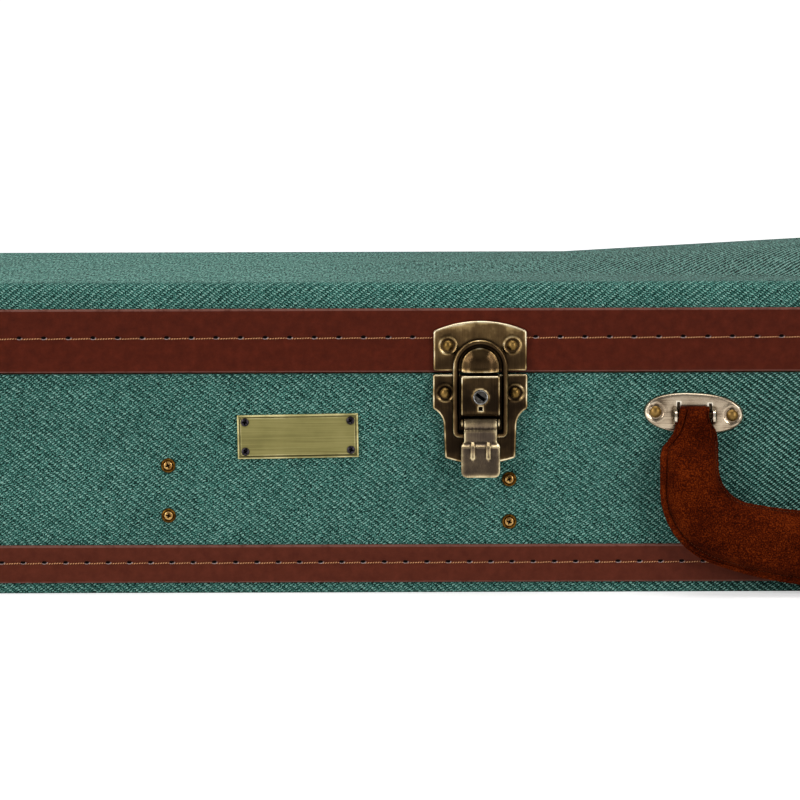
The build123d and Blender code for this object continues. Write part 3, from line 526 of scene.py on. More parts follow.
def addSheet(shell, loop, inset, spacing, height, up=1, holes=(), extra=(), clear=()):
    # a sheet inside the outline, its height a number or a function of x and y, with holes cut out
    # of it; its grid of points leaves out the clear places (x, y, radius), which extra points fill
    normals = loop["normals"]
    border = loop["points"] - normals * inset
    clearance = dict(border=0.6 * spacing, hole=0.2 * spacing)  # that inner points keep
    tree = kdtree.KDTree(len(border) + sum(len(hole["points"]) for hole in holes))
    for i, (x, y) in enumerate(border):
        tree.insert((x, y, 0), i)
    for hole in holes:
        for x, y in hole["points"]:
            tree.insert((x, y, 0), len(border))
    tree.balance()
    low, high = border.min(0), border.max(0)
    grid = [(x, y) for x in np.arange(low[0] + spacing / 2, high[0], spacing)
            for y in np.arange(low[1] + spacing / 2, high[1], spacing)]
    grid = [(x, y) for x, y in grid if all(hypot(x - u, y - v) > r for u, v, r in clear)]
    inside = []
    for x, y in [*grid, *extra]:
        place, i, gap = tree.find((x, y, 0))
        if i == len(border):
            if gap > clearance["hole"]:
                inside.append((x, y))
        elif (x - place[0]) * normals[i][0] + (y - place[1]) * normals[i][1] < -clearance["border"]:
            inside.append((x, y))
    flat, edges, first = [Vector(p) for p in map(tuple, border)], [], 0
    for ring in [border, *(hole["points"] for hole in holes)]:
        count = len(ring)
        edges += [(first + i, first + (i + 1) % count) for i in range(count)]
        if first:
            flat += [Vector(p) for p in map(tuple, ring)]
        first += count
    made = geometry.delaunay_2d_cdt(flat + [Vector(p) for p in inside], edges, [], 1, 1e-4)
    points, faces = made[0], made[2]
    start = len(shell.points)
    xy = np.array([tuple(p) for p in points])
    z = height(xy[:, 0], xy[:, 1]) if callable(height) else np.full(len(xy), float(height))
    shell.points += [(x, y, h) for (x, y), h in zip(xy, z)]
    for face in faces:
        if any(isInside(xy[list(face)].mean(0), hole["points"]) for hole in holes):
            continue
        face = face if up > 0 else face[::-1]
        shell.faces.append(tuple(start + i for i in face))
        shell.uvs.append([tuple(xy[i]) for i in face])


def addTube(shell, rows, travel, slot=None):
    # rings of points joined into a tube; travel is the length coordinate of each ring
    start, around = len(shell.points), len(rows[0])
    turn = 2 * pi / around / mm
    for row in rows:
        shell.points += row
    addGrid(shell, start, len(rows), around, lambda i, j: (travel[j], i * turn))
    if slot is not None:
        shell.slots += [slot] * ((len(rows) - 1) * around)


def isInside(point, ring):
    # true where the ring of points goes round the point
    x, y = ring[:, 0] - point[0], ring[:, 1] - point[1]
    turn = np.arctan2(x * np.roll(y, -1) - y * np.roll(x, -1), x * np.roll(x, -1) + y * np.roll(y, -1))
    return abs(turn.sum()) > pi


def makePiece(name, shell, finish, sharp=35.0, merge=True):
    # the shell as a smooth mesh in metres, with its weave coordinates
    mesh = bpy.data.meshes.new(name)
    mesh.from_pydata([tuple(c * mm for c in p) for p in shell.points], [], shell.faces)
    layer = mesh.uv_layers.new(name="weave")
    flat = [c * mm for face in shell.uvs for uv in face for c in uv]
    layer.data.foreach_set("uv", flat)
    for each in finish if isinstance(finish, list) else [finish]:
        mesh.materials.append(finishes[each])
    if shell.slots:
        mesh.polygons.foreach_set("material_index", shell.slots)
    if merge:
        work = bmesh.new()
        work.from_mesh(mesh)
        bmesh.ops.remove_doubles(work, verts=work.verts, dist=0.01 * mm)
        work.to_mesh(mesh)
        work.free()
    mesh.shade_smooth()
    mesh.set_sharp_from_angle(angle=radians(sharp))
    made = bpy.data.objects.new(name, mesh)
    bpy.context.scene.collection.objects.link(made)
    return made


def wearEdgesAndPaintReflections(piece, reach=0.55, paintedReflections=((0, 0),)):
    # marks where the surface bulges outwards, which hands and polishing cloths rub bright; the last
    # argument adds painted reflections, as (height, amount), where a face is painted brighter or darker
    mesh = piece.data
    points = np.empty(len(mesh.vertices) * 3)
    normals = np.empty(len(mesh.vertices) * 3)
    ends = np.empty(len(mesh.edges) * 2, dtype=int)
    mesh.vertices.foreach_get("co", points)
    mesh.vertex_normals.foreach_get("vector", normals)
    mesh.edges.foreach_get("vertices", ends)
    points, normals, ends = points.reshape(-1, 3) / mm, normals.reshape(-1, 3), ends.reshape(-1, 2)
    span = points[ends[:, 1]] - points[ends[:, 0]]
    bend = ((normals[ends[:, 1]] - normals[ends[:, 0]]) * span).sum(1) / np.maximum((span**2).sum(1), 1e-6)
    lighterTone = np.zeros(len(points))
    for side in (0, 1):
        np.maximum.at(lighterTone, ends[:, side], bend)
    lighterTone = np.clip(lighterTone * reach, 0, 1)
    near, count = np.zeros(len(points)), np.zeros(len(points))
    for side in (0, 1):  # a softer edge: half of each value comes from the points round it
        np.add.at(near, ends[:, side], lighterTone[ends[:, 1 - side]])
        np.add.at(count, ends[:, side], 1)
    lighterTone = 0.5 * lighterTone + 0.5 * near / np.maximum(count, 1)
    least, span = 0.1, 0.65  # no wear below the least bend, full wear a span above it
    # the painted reflections are added to the wear here
    lighterTone = np.clip((lighterTone - least) / span, 0, 1) + np.interp(points[:, 2], *zip(*paintedReflections))
    mesh.attributes.new("lighterTone", "FLOAT", "POINT").data.foreach_set("value", lighterTone)


def roundCorner(centre, radius, start, turn, count=5):
    # points of an arc in (inset, height), angles in degrees
    angles = [radians(start + turn * i / count) for i in range(count + 1)]
    return [(centre[0] + radius * cos(a), centre[1] + radius * sin(a)) for a in angles]


# Arched top of the lid: a ridge that rises from its toe along the neck and runs into the pot's dome
arch = dict(toe=-202.0, ridgeRadius=250.0, domeHeight=28.0, domeBase=175.0, footBlend=3.5, creaseBlend=6.0)


def softMax(a, b, width):
    nearness = np.clip(width - np.abs(a - b), 0, None) / width
    return np.maximum(a, b) + nearness**3 * width / 6


def archHeight(x, y):
    ball = (arch["domeBase"] ** 2 + arch["domeHeight"] ** 2) / (2 * arch["domeHeight"])
    centreZ = case["lidTop"] + arch["domeHeight"] - ball
    run, drop = potX - arch["toe"], ball - arch["domeHeight"]
    slope = atan2(run, drop) - atan2(sqrt(run**2 + drop**2 - ball**2), ball)
    end = potX - slope * ball
    dome = centreZ + np.sqrt(np.clip(ball**2 - (x - potX) ** 2 - y**2, 0, None))
    fall = arch["ridgeRadius"] - np.sqrt(np.clip(arch["ridgeRadius"] ** 2 - y**2, 0, None))
    ridge = case["lidTop"] + (x - arch["toe"]) * tan(slope) - fall / cos(slope)
    ridge = np.where(x > end, -100.0, ridge)
    width = np.clip((end - x) * 0.1, 0.01, arch["creaseBlend"])
    return softMax(softMax(ridge, dome, width), np.full_like(x, case["lidTop"]), arch["footBlend"])


# Cloth over the lid: walls, rounded upper edge and arched top in one piece
lidShell, corner = newShell(), case["edge"]
addSweep(
    lidShell,
    plan,
    [(1.0, case["lidBottom"]), (0.2, case["lidBottom"]), (0.0, case["lidBottom"] + 0.2)]
    + [(0.0, z) for z in np.linspace(case["lidBottom"] + 6, case["lidTop"] - corner - 5, 5)]
    + roundCorner((corner, case["lidTop"] - corner), corner, 180, -90, 6),
)
wallFaces = len(lidShell.faces)
addSheet(lidShell, plan, corner, 6.0, archHeight)
lidShell.slots = [int(i >= wallFaces) for i in range(len(lidShell.faces))]  # the top has its own weave, and its tone is lifted as painted light
lidCloth = makePiece("lidCloth", lidShell, ["lidTwill", "topTwill"], sharp=60)
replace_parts(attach(lidCloth, "lid"), "lid_cloth_cover")

# Cloth round the base, turned under it
turned = case["lowerEdge"]
baseShell = newShell()
addSheet(baseShell, plan, turned, 40.0, 0.0, up=-1)
addSweep(
    baseShell,
    plan,
    roundCorner((turned, turned), turned, 270, -90, 5)
    + [(0.0, z) for z in np.linspace(turned + 6, case["baseTop"] - 5, 7)]
    + [(0.0, case["baseTop"] - 0.2), (0.2, case["baseTop"]), (1.0, case["baseTop"])],
)
baseCloth = makePiece("baseCloth", baseShell, "bodyTwill", sharp=60)
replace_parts(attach(baseCloth, "base"), "base_cloth_sides", "base_cloth_bottom")
print("cloth covers made:", len(lidCloth.data.polygons), "and", len(baseCloth.data.polygons), "faces")

# Leather bands, each drawn in along its row of stitches, so that its two halves lean towards it
bands = dict(
    lid=dict(low=98.1, high=126.2, stitch=113.3, pitch=10.8, phase=-4.7, body="lid", node="lid_leather_band"),
    base=dict(low=4.8, high=21.6, stitch=13.7, pitch=9.4, phase=5.3, body="base", node="base_leather_band"),
    thickness=1.6,
    drawnIn=0.55,
    rounding=0.7,
)
stitching = dict(
    threadRadius=0.3,
    sides=6,
    rings=9,
    rise=0.3,  # of the thread's middle over its ends
    sunk=0.15,
    drop=0.15,
    slant=0.16,
    gap=0.95,  # from a hole's middle to the end of the thread
    hole=1.15,
    rim=1.45,
    rimHeight=0.36,
    around=10,
    raised=0.4,  # of the hole's middle over the row
    torn=(6, 7, 8, 9),  # the lip is only torn up where the thread pulls, at its lower right
)


def bandFace(z, size):
    # how far the band's face stands out at a height
    drawn = bands["thickness"] - bands["drawnIn"]
    reach = size["high"] - size["stitch"] if z > size["stitch"] else size["stitch"] - size["low"]
    return drawn + bands["drawnIn"] * min(1.0, abs(z - size["stitch"]) / (0.55 * reach)) ** 0.8


def leatherBand(name, size):
    r, out = bands["rounding"], bands["thickness"]
    low, high = size["low"], size["high"]
    profile = [(0.0, low)] + [(-o, z) for o, z in roundCorner((out - r, low + r), r, -90, 90, 4)]
    for z in np.linspace(low + r + 0.25, high - r - 0.25, 23):
        profile.append((-bandFace(z, size), z))
    profile.append((-bandFace(size["stitch"], size), size["stitch"]))
    profile.sort(key=lambda p: p[1])
    profile += [(-o, z) for o, z in roundCorner((out - r, high - r), r, 0, 90, 4)] + [(0.0, high)]
    shell = newShell()
    addSweep(shell, plan, profile)
    rowSlots = [0] * (len(profile) - 1)
    rowSlots[3:5] = [1, 1]  # both cut edges carry a painted highlight, the upper one more widely
    rowSlots[-6:-1] = [1] * 5
    shell.slots = [slot for slot in rowSlots for _ in plan["points"]]
    return makePiece(name, shell, [size["body"] + "Leather", "edgeHighlight"], sharp=60)


def stitchRow(name, size):
    # thread between punched holes; each hole has a raised pale lip and a dark floor
    count = round(planTotal / size["pitch"])
    pitch = planTotal / count
    shell, s = newShell(), stitching
    face = bandFace(size["stitch"], size)
    turns, lipTurns = roundTurns(s["sides"]), roundTurns(s["around"])

    def place(length, out, z):
        point, normal = planAt(length)
        point = point + normal * out
        return (point[0], point[1], z)

    for n in range(count):
        middle = n * pitch + size["phase"]
        rows = []
        for j in range(s["rings"]):
            t = j / (s["rings"] - 1)
            length = middle + s["gap"] + t * (pitch - 2 * s["gap"])
            lift = face + s["rise"] * min(1.0, 5 * min(t, 1 - t)) ** 0.5 - s["sunk"]
            z, r = size["stitch"] - s["drop"] + s["slant"] * (2 * t - 1), s["threadRadius"]
            rows.append([place(length, lift + r * cos(a), z - r * sin(a)) for a in turns])
        addTube(shell, rows, [j * pitch / s["rings"] for j in range(s["rings"])], 0)
        shape = [(s["rim"], 0.0), (0.9 * s["rim"], s["rimHeight"]), (s["hole"], s["rimHeight"] * 0.9),
                 (s["hole"] * 0.85, 0.16)]
        centre = size["stitch"] + s["raised"]
        lip = [
            [place(middle + 1.1 * r * cos(a), face + h, centre + 0.7 * r * sin(a)) for a in lipTurns]
            for r, h in shape
        ]
        first = len(shell.slots)
        addTube(shell, lip, [0, 1, 2, 3], 1)
        for i in range(3 * s["around"]):
            if i % s["around"] not in s["torn"]:
                shell.slots[first + i] = 3
        start = len(shell.points)
        shell.points += lip[-1]
        shell.faces.append(tuple(range(start, start + s["around"])))
        shell.uvs.append([(0, 0)] * s["around"])
        shell.slots.append(2)
    surfaces = ["waxedThread", "holeLip", "holeFloor", size["body"] + "Leather"]
    return makePiece(name, shell, surfaces, sharp=80, merge=False)


# Leather cut by the needle: pale raw fibres on the lip, and a floor too deep for light
def needleHole(name, colour, dark):
    made, add, coat = newFinish(name, {"Roughness": 0.9, "Specular IOR Level": 0.05})
    place = add("TexCoord").outputs["Object"]
    fibres = add("TexNoise", {"Vector": place, "Scale": 1 / (0.4 * mm), "Detail": 3.0})
    coat({"Base Color": add("ValToRGB", [fibres], [(0.3, dark), (0.7, colour)])})
    return made


finishes["holeLip"] = needleHole("cutLeatherLip", "#b8a8a6", "#6e4d46")
finishes["holeFloor"] = needleHole("needleHoleFloor", "#0c0605", "#060303")
for key in ("lid", "base"):
    size = bands[key]
    band = leatherBand(key + "Band", size)
    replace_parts(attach(band, size["body"]), size["node"])
    row = stitchRow(key + "BandStitches", size)
    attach(row, size["body"])
print("leather bands and stitches made")

# Suede handle: two padded legs and a sagging grip, sewn flat along both edges, a strap at each end
grip = dict(
    x=32.0,
    wall=-105.0,
    outer=85.0,
    inner=59.5,
    cornerX=50.0,
    cornerZ=47.0,
    cornerRadius=35.0,
    bottom=3.2,
    insideX=42.5,
    insideZ=57.5,
    insideRadius=17.0,
    roof=36.6,
    middle=10.7,
    padHalf=7.4,
    seam=3.1,
    innerSeam=1.1,
    layer=1.5,
    strapHalf=2.1,
    strapLayer=1.6,
    span=69.7,
    pinZ=79.0,
    pinOut=6.5,
    roll=4.2,
)


def gripEdges(count=34):
    # pairs of points down the left leg and along half of the grip: (outer edge, inner edge)
    def touching(x, z, r, edgeZ):
        # circle that touches a corner's circle and has its lowest or highest point at edgeZ
        lift = z - edgeZ
        radius = (x**2 + lift**2 - r**2) / (2 * (lift - r))
        return edgeZ + radius, radius

    centreZ, radius = touching(grip["cornerX"], grip["cornerZ"], grip["cornerRadius"], grip["bottom"])
    roofZ, roofRadius = touching(grip["insideX"], grip["insideZ"], grip["insideRadius"], grip["roof"])
    turn = degrees(atan2(grip["cornerX"], centreZ - grip["cornerZ"]))
    insideTurn = degrees(atan2(grip["insideX"], roofZ - grip["insideZ"]))
    mid = grip["span"]
    straps = [  # outer x, z and inner x, z from the roll down to the shoulder
        ((mid + 6.0, grip["pinZ"] + 4.2), (mid - 6.2, grip["pinZ"] + 4.2)),
        ((mid + 6.3, grip["pinZ"] + 3.6), (mid - 6.5, grip["pinZ"] + 3.6)),
        ((mid + 6.6, grip["pinZ"] + 2.2), (mid - 6.4, grip["pinZ"] + 2.2)),
        ((mid + 7.2, grip["pinZ"]), (mid - 6.2, grip["pinZ"])),
        ((mid + 8.0, 75.2), (mid - 7.0, 76.2)),
        ((mid + 9.6, 71.0), (mid - 9.2, 73.0)),
        ((mid + 12.2, 67.4), (mid - 10.2, 69.0)),
        ((mid + 14.4, 65.0), (mid - 10.2, 65.0)),
        ((grip["outer"], 61.5), (grip["inner"], 61.0)),
    ]
    pairs = [((-a, b), (-c, d)) for (a, b), (c, d) in straps]
    for i in range(1, count + 1):
        t = i / count
        a = radians(180 + (90 - turn) * t)
        b = radians(180 + (90 - insideTurn) * t)
        r, s = grip["cornerRadius"], grip["insideRadius"]
        outer = (-grip["cornerX"] + r * cos(a), grip["cornerZ"] + r * sin(a))
        inner = (-grip["insideX"] + s * cos(b), grip["insideZ"] + s * sin(b))
        pairs.append((outer, inner))
    for i in range(1, 15):
        t = i / 14
        a, b = radians(270 - turn * (1 - t)), radians(270 - insideTurn * (1 - t))
        outer = (radius * cos(a), centreZ + radius * sin(a))
        inner = (roofRadius * cos(b), roofZ + roofRadius * sin(b))
        pairs.append((outer, inner))
    right = [((-ox, oz), (-ix, iz)) for (ox, oz), (ix, iz) in reversed(pairs[:-1])]
    return pairs + right


def gripSection(outer, inner, share, fill):
    # closed section from the outer edge across the front to the inner edge and back behind
    width = hypot(outer[0] - inner[0], outer[1] - inner[1])
    strap = 1 - fill
    half = grip["padHalf"] * fill + grip["strapHalf"] * strap
    middle = grip["middle"] * fill + grip["pinOut"] * strap
    seam, innerSeam = grip["seam"], grip["innerSeam"]
    split = 2.6 * share  # the back layer shows below the front one along the grip
    flange = grip["layer"] * fill + grip["strapLayer"] * strap
    front = [(0.0, 0.0), (0.1 * share, 0.35 * flange), (0.85 * split, 0.45 * flange)]
    front += [(split, 0.7 * flange * (1 - share) - 0.5 * share), (split + 0.4, flange), (seam * 0.75, flange)]
    front += [(seam - 0.35, 0.85 * flange), (seam, 0.35 * flange), (seam + 0.35, 0.95 * flange)]
    inside = width - seam - innerSeam - 0.7
    for k in range(1, 14):
        t = k / 14
        bulge = (1 - abs(2 * t - 1) ** 2.6) ** 0.62
        front.append((seam + 0.35 + inside * t, max(flange, flange + (half - flange) * bulge)))
    front += [(width - innerSeam - 0.3, 0.9 * flange), (width - innerSeam, 0.6 * flange)]
    front += [(width - innerSeam + 0.3, 0.85 * flange), (width - 0.25, 0.6 * flange), (width, 0.0)]
    back = [(d, -h) for d, h in reversed(front[5:-1])]
    back += [(0.4, -flange), (0.0, -0.7 * flange)]
    direction = ((inner[0] - outer[0]) / width, (inner[1] - outer[1]) / width)
    return [
        (outer[0] + direction[0] * d, outer[1] + direction[1] * d, middle + h) for d, h in front + back
    ]


def seamStitches(shell, path, pitch=1.5, radius=0.24):
    # short raised stitches along a seam, each swelling towards its middle
    path = [Vector(p) for p in path]
    lengths = np.concatenate([[0], np.cumsum([(b - a).length for a, b in zip(path, path[1:])])])
    path, out, turns = np.array([tuple(p) for p in path]), Vector((0, -1, 0)), roundTurns(6)
    for middle in np.arange(pitch, lengths[-1] - pitch, pitch):
        ring = [Vector([np.interp(middle + along, lengths, path[:, c]) for c in range(3)])
                for along in (-0.5, -0.35, 0.0, 0.35, 0.5)]
        across = out.cross((ring[-1] - ring[0]).normalized()).normalized()
        rows = [
            [tuple(centre + across * radius * swell * cos(t) + out * radius * swell * sin(t)) for t in turns]
            for centre, swell in zip(ring, (0.3, 0.85, 1.0, 0.85, 0.3))
        ]
        addTube(shell, rows, [0, 0.2, 0.5, 0.8, 1.0], 1)


def suedeHandle():
    pairs = gripEdges()
    shell, rows, out = newShell(), [], grip["pinOut"]
    for outer, inner in pairs:
        z = (outer[1] + inner[1]) / 2
        fill = min(1.0, max(0.0, (70.0 - z) / 12.0))
        fill = fill * fill * (3 - 2 * fill)
        share = min(1.0, max(0.0, (26.0 - outer[1]) / 18.0))
        row = gripSection(outer, inner, share, fill)
        rise = abs(z - grip["pinZ"]) / grip["roll"]
        if z > grip["pinZ"]:
            thin = sqrt(max(0.0, 1 - min(1.0, rise) ** 2)) * grip["roll"] / grip["strapHalf"]
            row = [(x, h, out + (w - out) * max(0.05, thin)) for x, h, w in row]
        elif z > 70:
            near = 1 - min(1.0, (grip["pinZ"] - z) / 9.0)
            swell = 1 + near * (grip["roll"] / grip["strapHalf"] - 1)
            row = [(x, h, out + (w - out) * swell) for x, h, w in row]
        rows.append(row)
    around = len(rows[0])
    for row in rows:
        shell.points += [(grip["x"] + x, grip["wall"] - w, z) for x, z, w in row]
    addGrid(shell, 0, len(rows), around, lambda i, j: (i, j), turn=-1)
    addCaps(shell, 0, (len(rows) - 1) * around, around, turn=-1)
    shell.slots = [0] * len(shell.faces)
    seams = [[row[k] for row in rows if row[0][1] < 69] for k in (7, 23)]  # the two grooves of the front
    for seam in seams:
        seamStitches(shell, [(grip["x"] + x, grip["wall"] - w - 0.1, z) for x, z, w in seam])
    return makePiece("handleSuede", shell, ["suede", "seamThread"], sharp=50, merge=False)


handle = suedeHandle()
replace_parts(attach(handle, "handle"), "handle_cover", "handle_core")
print("handle made:", len(handle.data.polygons), "faces")

# Draw latches: pressed plates with rounded rims, drawn on the wall with u across, v up and w outwards
latch = dict(
    face=3.8,
    rim=0.75,
    strike=(20.5, 98.8, 116.4, 120.8),  # half width, bottom, shoulder, crown
    strikeRivet=(14.1, 110.0),
    hood=(8.5, 98.2, 101.0, 9.4),  # half width, bottom, centre of its arch, face
    hoodFacets=(2.1, 0.35, 0.62, 0.35),  # height, blend between them, steepness, lip along the opening
    plateHalf=20.8,
    plateTop=97.3,
    waist=(82.2, 74.5, 16.0),  # top, bottom, half width
    foot=(15.5, 60.4, 57.8),  # half width, corner, lowest point
    plateRivet=(15.3, 89.1),
    housing=(8.5, 79.3, 97.2, 11.3, 9.8),  # half width, bottom, top, face, face at the bottom
    keyHole=(88.0, 3.35),
    notch=(82.9, 0.95),
    pivot=(76.5, 8.3),
    lug=(7.5, 8.5, 1.9),
    barrel=2.3,
    neckHalf=7.2,
    step=(68.0, 66.2, 1.05),  # where the leaf starts to step out, where it ends, by how much
    thumb=(8.5, 52.7, 1.0, 2.6),  # half width, tip, how far the tip leans out, corner
    ribs=(3.4, 60.3, 68.4, 1.3, 0.95),  # offset, bottom, top, half width, height
    crest=(0.35, 0.2, 0.55),  # rise, drop below the step, half width
    groove=(0.45, 0.35, 0.35),  # depth, drop below the barrel, half width
    leaf=1.1,
    front=12.65,  # how far the whole latch stands out from the wall
    bailEye=(71.1, 7.3, 6.2, 7.2, 2.0),
    bail=(10.8, 111.6, 1.4, 1.5),  # half width, crown, wire radius, corner
    places={"head": (-440.0, -105.0), "neck": (-131.7, -105.0), "pot": (330.0, -192.0), "tail": (535.0, 0.0)},
)


def divided(points, step, rounding=round):
    # a closed ring whose sides are divided into about equal steps
    filled = []
    for (ax, ay), (bx, by) in zip(points, points[1:] + points[:1]):
        parts = max(1, rounding(hypot(bx - ax, by - ay) / step))
        filled += [(ax + (bx - ax) * i / parts, ay + (by - ay) * i / parts) for i in range(parts)]
    return closedLoop(filled)


def roundedLoop(corners, step=0.5):
    # corners are (x, y, radius), anticlockwise; each side is divided into steps
    count, points = len(corners), []
    for i, (x, y, radius) in enumerate(corners):
        here = Vector((x, y))
        before = (Vector(corners[i - 1][:2]) - here).normalized()
        after = (Vector(corners[(i + 1) % count][:2]) - here).normalized()
        half = before.angle(after) / 2
        if radius < 0.01 or half > 1.55:
            points.append((x, y))
            continue
        reach = radius / tan(half)
        centre = here + (before + after).normalized() * (radius / sin(half))
        first, last = here + before * reach - centre, here + after * reach - centre
        turn = first.angle_signed(last)
        for k in range(7):
            spoke = first.copy()
            spoke.rotate(Matrix.Rotation(-turn * k / 6, 2))
            points.append(tuple(centre + spoke))
    return divided(points, step)


def circleLoop(x, y, radius, count=28):
    return closedLoop([(x + radius * cos(t), y + radius * sin(t)) for t in roundTurns(count)])


def dimple(x, y, spots, groove=(0.32, 2.7, 0.5), lip=(0.32, 3.7, 0.4)):
    # a pressed plate sinks in a groove round each rivet, with a soft lip outside it; each is
    # given by its height, radius and half width
    sunk = np.zeros_like(x)
    for u, v in spots:
        away = np.hypot(x - u, y - v)
        dip, rise = (h * np.exp(-(((away - r) / half) ** 2)) for h, r, half in (groove, lip))
        sunk += -dip + rise
    return sunk


def ringPoints(spots, radii, count=28):
    # extra mesh points in rings, so that the dimples are round
    return [
        (u + r * cos(2 * pi * (i + 0.5 * (k % 2)) / count), v + r * sin(2 * pi * (i + 0.5 * (k % 2)) / count))
        for u, v in spots for k, r in enumerate(radii) for i in range(count)
    ]


def pressedPlate(shell, loop, back, rim, surface, spacing=1.0, holes=(), spots=(), extra=()):
    # a plate with a rounded rim, and rings of points round its rivets and holes
    rows = [(0.0, back)] + [(i, z - 2 * rim, "top") for i, z in roundCorner((rim, rim), rim, 180, -90, 5)]
    rows.append((rim + 0.2, 0.0, "top"))
    addSweep(shell, loop, rows, top=surface)
    rings = ringPoints(spots, (0.8, 1.6, 2.1, 2.4, 2.7, 3.0, 3.3, 3.6, 3.9, 4.2, 4.6))
    for hole in holes:
        rings += [tuple(p) for p in hole["points"] + 0.25 * spacing * hole["normals"]]
    clear = [(u, v, 4.9) for u, v in spots]
    addSheet(shell, loop, rim + 0.2, spacing, surface, holes=holes, extra=[*rings, *extra], clear=clear)


def boreWall(shell, loop, bottom, surface):
    # the inside of a hole, down to a closed floor
    addSweep(shell, loop, [(0.0, 0.0, "top"), (0.0, bottom)], top=surface)
    addSheet(shell, loop, 0.0, 5.0, bottom)


def eyePlate(shell, low, high, v, w, radius, foot, footHalf=None):
    # an upright ear between two values of u, round at its eye and widening down to its foot
    base = footHalf or radius
    loop = closedLoop(roundCorner((v, w), radius, 0, 180, 12) + [(v - base, foot), (v + base, foot)])
    ear, edge = newShell(), 0.22  # its edges are bevelled
    addSweep(ear, loop, [(edge, low), (0.0, low + edge), (0.0, high - edge), (edge, high)])
    addSheet(ear, loop, edge, 5.0, high)
    addSheet(ear, loop, edge, 5.0, low, up=-1)
    addShell(shell, ear, lambda a, b, u: (u, a, b))


def strikePlate(shell):
    half, low, shoulder, crown = latch["strike"]
    rise = crown - shoulder
    radius = (half**2 + rise**2) / (2 * rise)
    reach = np.linspace(half, -half, 26)
    arch = [(u, crown - radius + sqrt(radius**2 - u**2), 0.0) for u in reach]
    arch[0], arch[-1] = (half, shoulder, 1.6), (-half, shoulder, 1.6)
    loop = roundedLoop([(-half, low, 1.0), (half, low, 1.0)] + arch, step=0.8)
    u, v = latch["strikeRivet"]
    spots = [(-u, v), (u, v)]

    def surface(x, y):
        return latch["face"] + dimple(x, y, spots)

    pressedPlate(shell, loop, 0.3, latch["rim"], surface, 1.1, spots=spots)
    hoodHalf, bottom, centre, face = latch["hood"]
    ring = [(-hoodHalf, bottom, 1.2), (hoodHalf, bottom, 1.2)]
    ring += [(u, v, 0.0) for u, v in roundCorner((0, centre), hoodHalf, 0, 180, 24)]
    loop = roundedLoop(ring, step=0.6)
    facing, blend, steepness, lip = latch["hoodFacets"]
    wall, turn = face - facing, radians(42)

    def domed(x, y):
        # flat facets that rise from the arch to the face, and a lip along the open edge
        up = y - centre
        facets = [hoodHalf - np.abs(x), hoodHalf - 0.3 - up]
        facets.append(1.02 * hoodHalf - (np.abs(x) * cos(turn) + up * sin(turn)))
        nearest = -blend * np.log(sum(np.exp(-facet / blend) for facet in facets))
        rise = steepness * np.clip(nearest, 0, None)
        rise = (face - wall) * (1 - np.exp(-((rise / (face - wall)) ** 2) * 1.2))
        return wall + rise + lip * np.exp(-(((y - bottom - 0.9) / 0.5) ** 2))

    edge = [(0.0, 3.0), (0.0, -0.7, "top"), (0.15, -0.2, "top"), (0.45, 0.0, "top")]
    addSweep(shell, loop, edge, top=domed)
    addSheet(shell, loop, 0.45, 0.6, domed)


def basePlate(shell, keyed):
    half, top, (waistTop, waistLow, waist) = latch["plateHalf"], latch["plateTop"], latch["waist"]
    foot, corner, lowest = latch["foot"]
    reach, depth = waistTop - waistLow, half - waist
    curve = (depth**2 + reach**2) / (2 * depth)
    end = atan2(reach, curve - depth)
    bends = np.linspace(0, end, 9)
    hollow = [(waist + curve - curve * cos(t), waistLow + curve * sin(t), 0.0) for t in bends]
    sag = corner - lowest
    radius = (foot**2 + sag**2) / (2 * sag)
    bow = [(u, lowest + radius - sqrt(radius**2 - u**2), 0.0) for u in np.linspace(-foot, foot, 17)]
    bow[0], bow[-1] = (-foot, corner, 1.2), (foot, corner, 1.2)
    ring = bow + hollow[:-1] + [(half, waistTop, 1.5), (half, top, 1.0)]
    ring += [(-half, top, 1.0), (-half, waistTop, 1.5)] + [(-x, y, r) for x, y, r in reversed(hollow[:-1])]
    u, v = latch["plateRivet"]
    spots = [(-u, v), (u, v)]

    def surface(x, y):
        return latch["face"] + dimple(x, y, spots)

    pressedPlate(shell, roundedLoop(ring, step=0.8), 0.0, latch["rim"], surface, 1.1, spots=spots)
    half, low, high, face, lowFace = latch["housing"]

    def boxTop(x, y):
        return np.minimum(face, lowFace + np.clip(y - low, 0, None))

    holes = []
    if keyed:
        height, radius = latch["keyHole"]
        centre, side = latch["notch"]
        corners = ((-side, -side), (side, -side), (side, side), (-side, side))
        notch = roundedLoop([(u, centre + v, 0.2) for u, v in corners])
        holes = [circleLoop(0, height, radius), notch]
    ring = roundedLoop([(-half, low, 0.9), (half, low, 0.9), (half, high, 1.0), (-half, high, 1.0)], step=0.7)
    crease = [(u, low + face - lowFace) for u in np.linspace(1.2 - half, half - 1.2, 24)]
    pressedPlate(shell, ring, 3.0, 0.6, boxTop, 0.9, holes=holes, extra=crease)
    for hole in holes:
        boreWall(shell, hole, face - 2.0, boxTop)
    v, w = latch["pivot"]
    inner, outer, radius = latch["lug"]
    for low, high in ((inner, outer), (-outer, -inner)):
        eyePlate(shell, low, high, v, w, radius, 3.2)


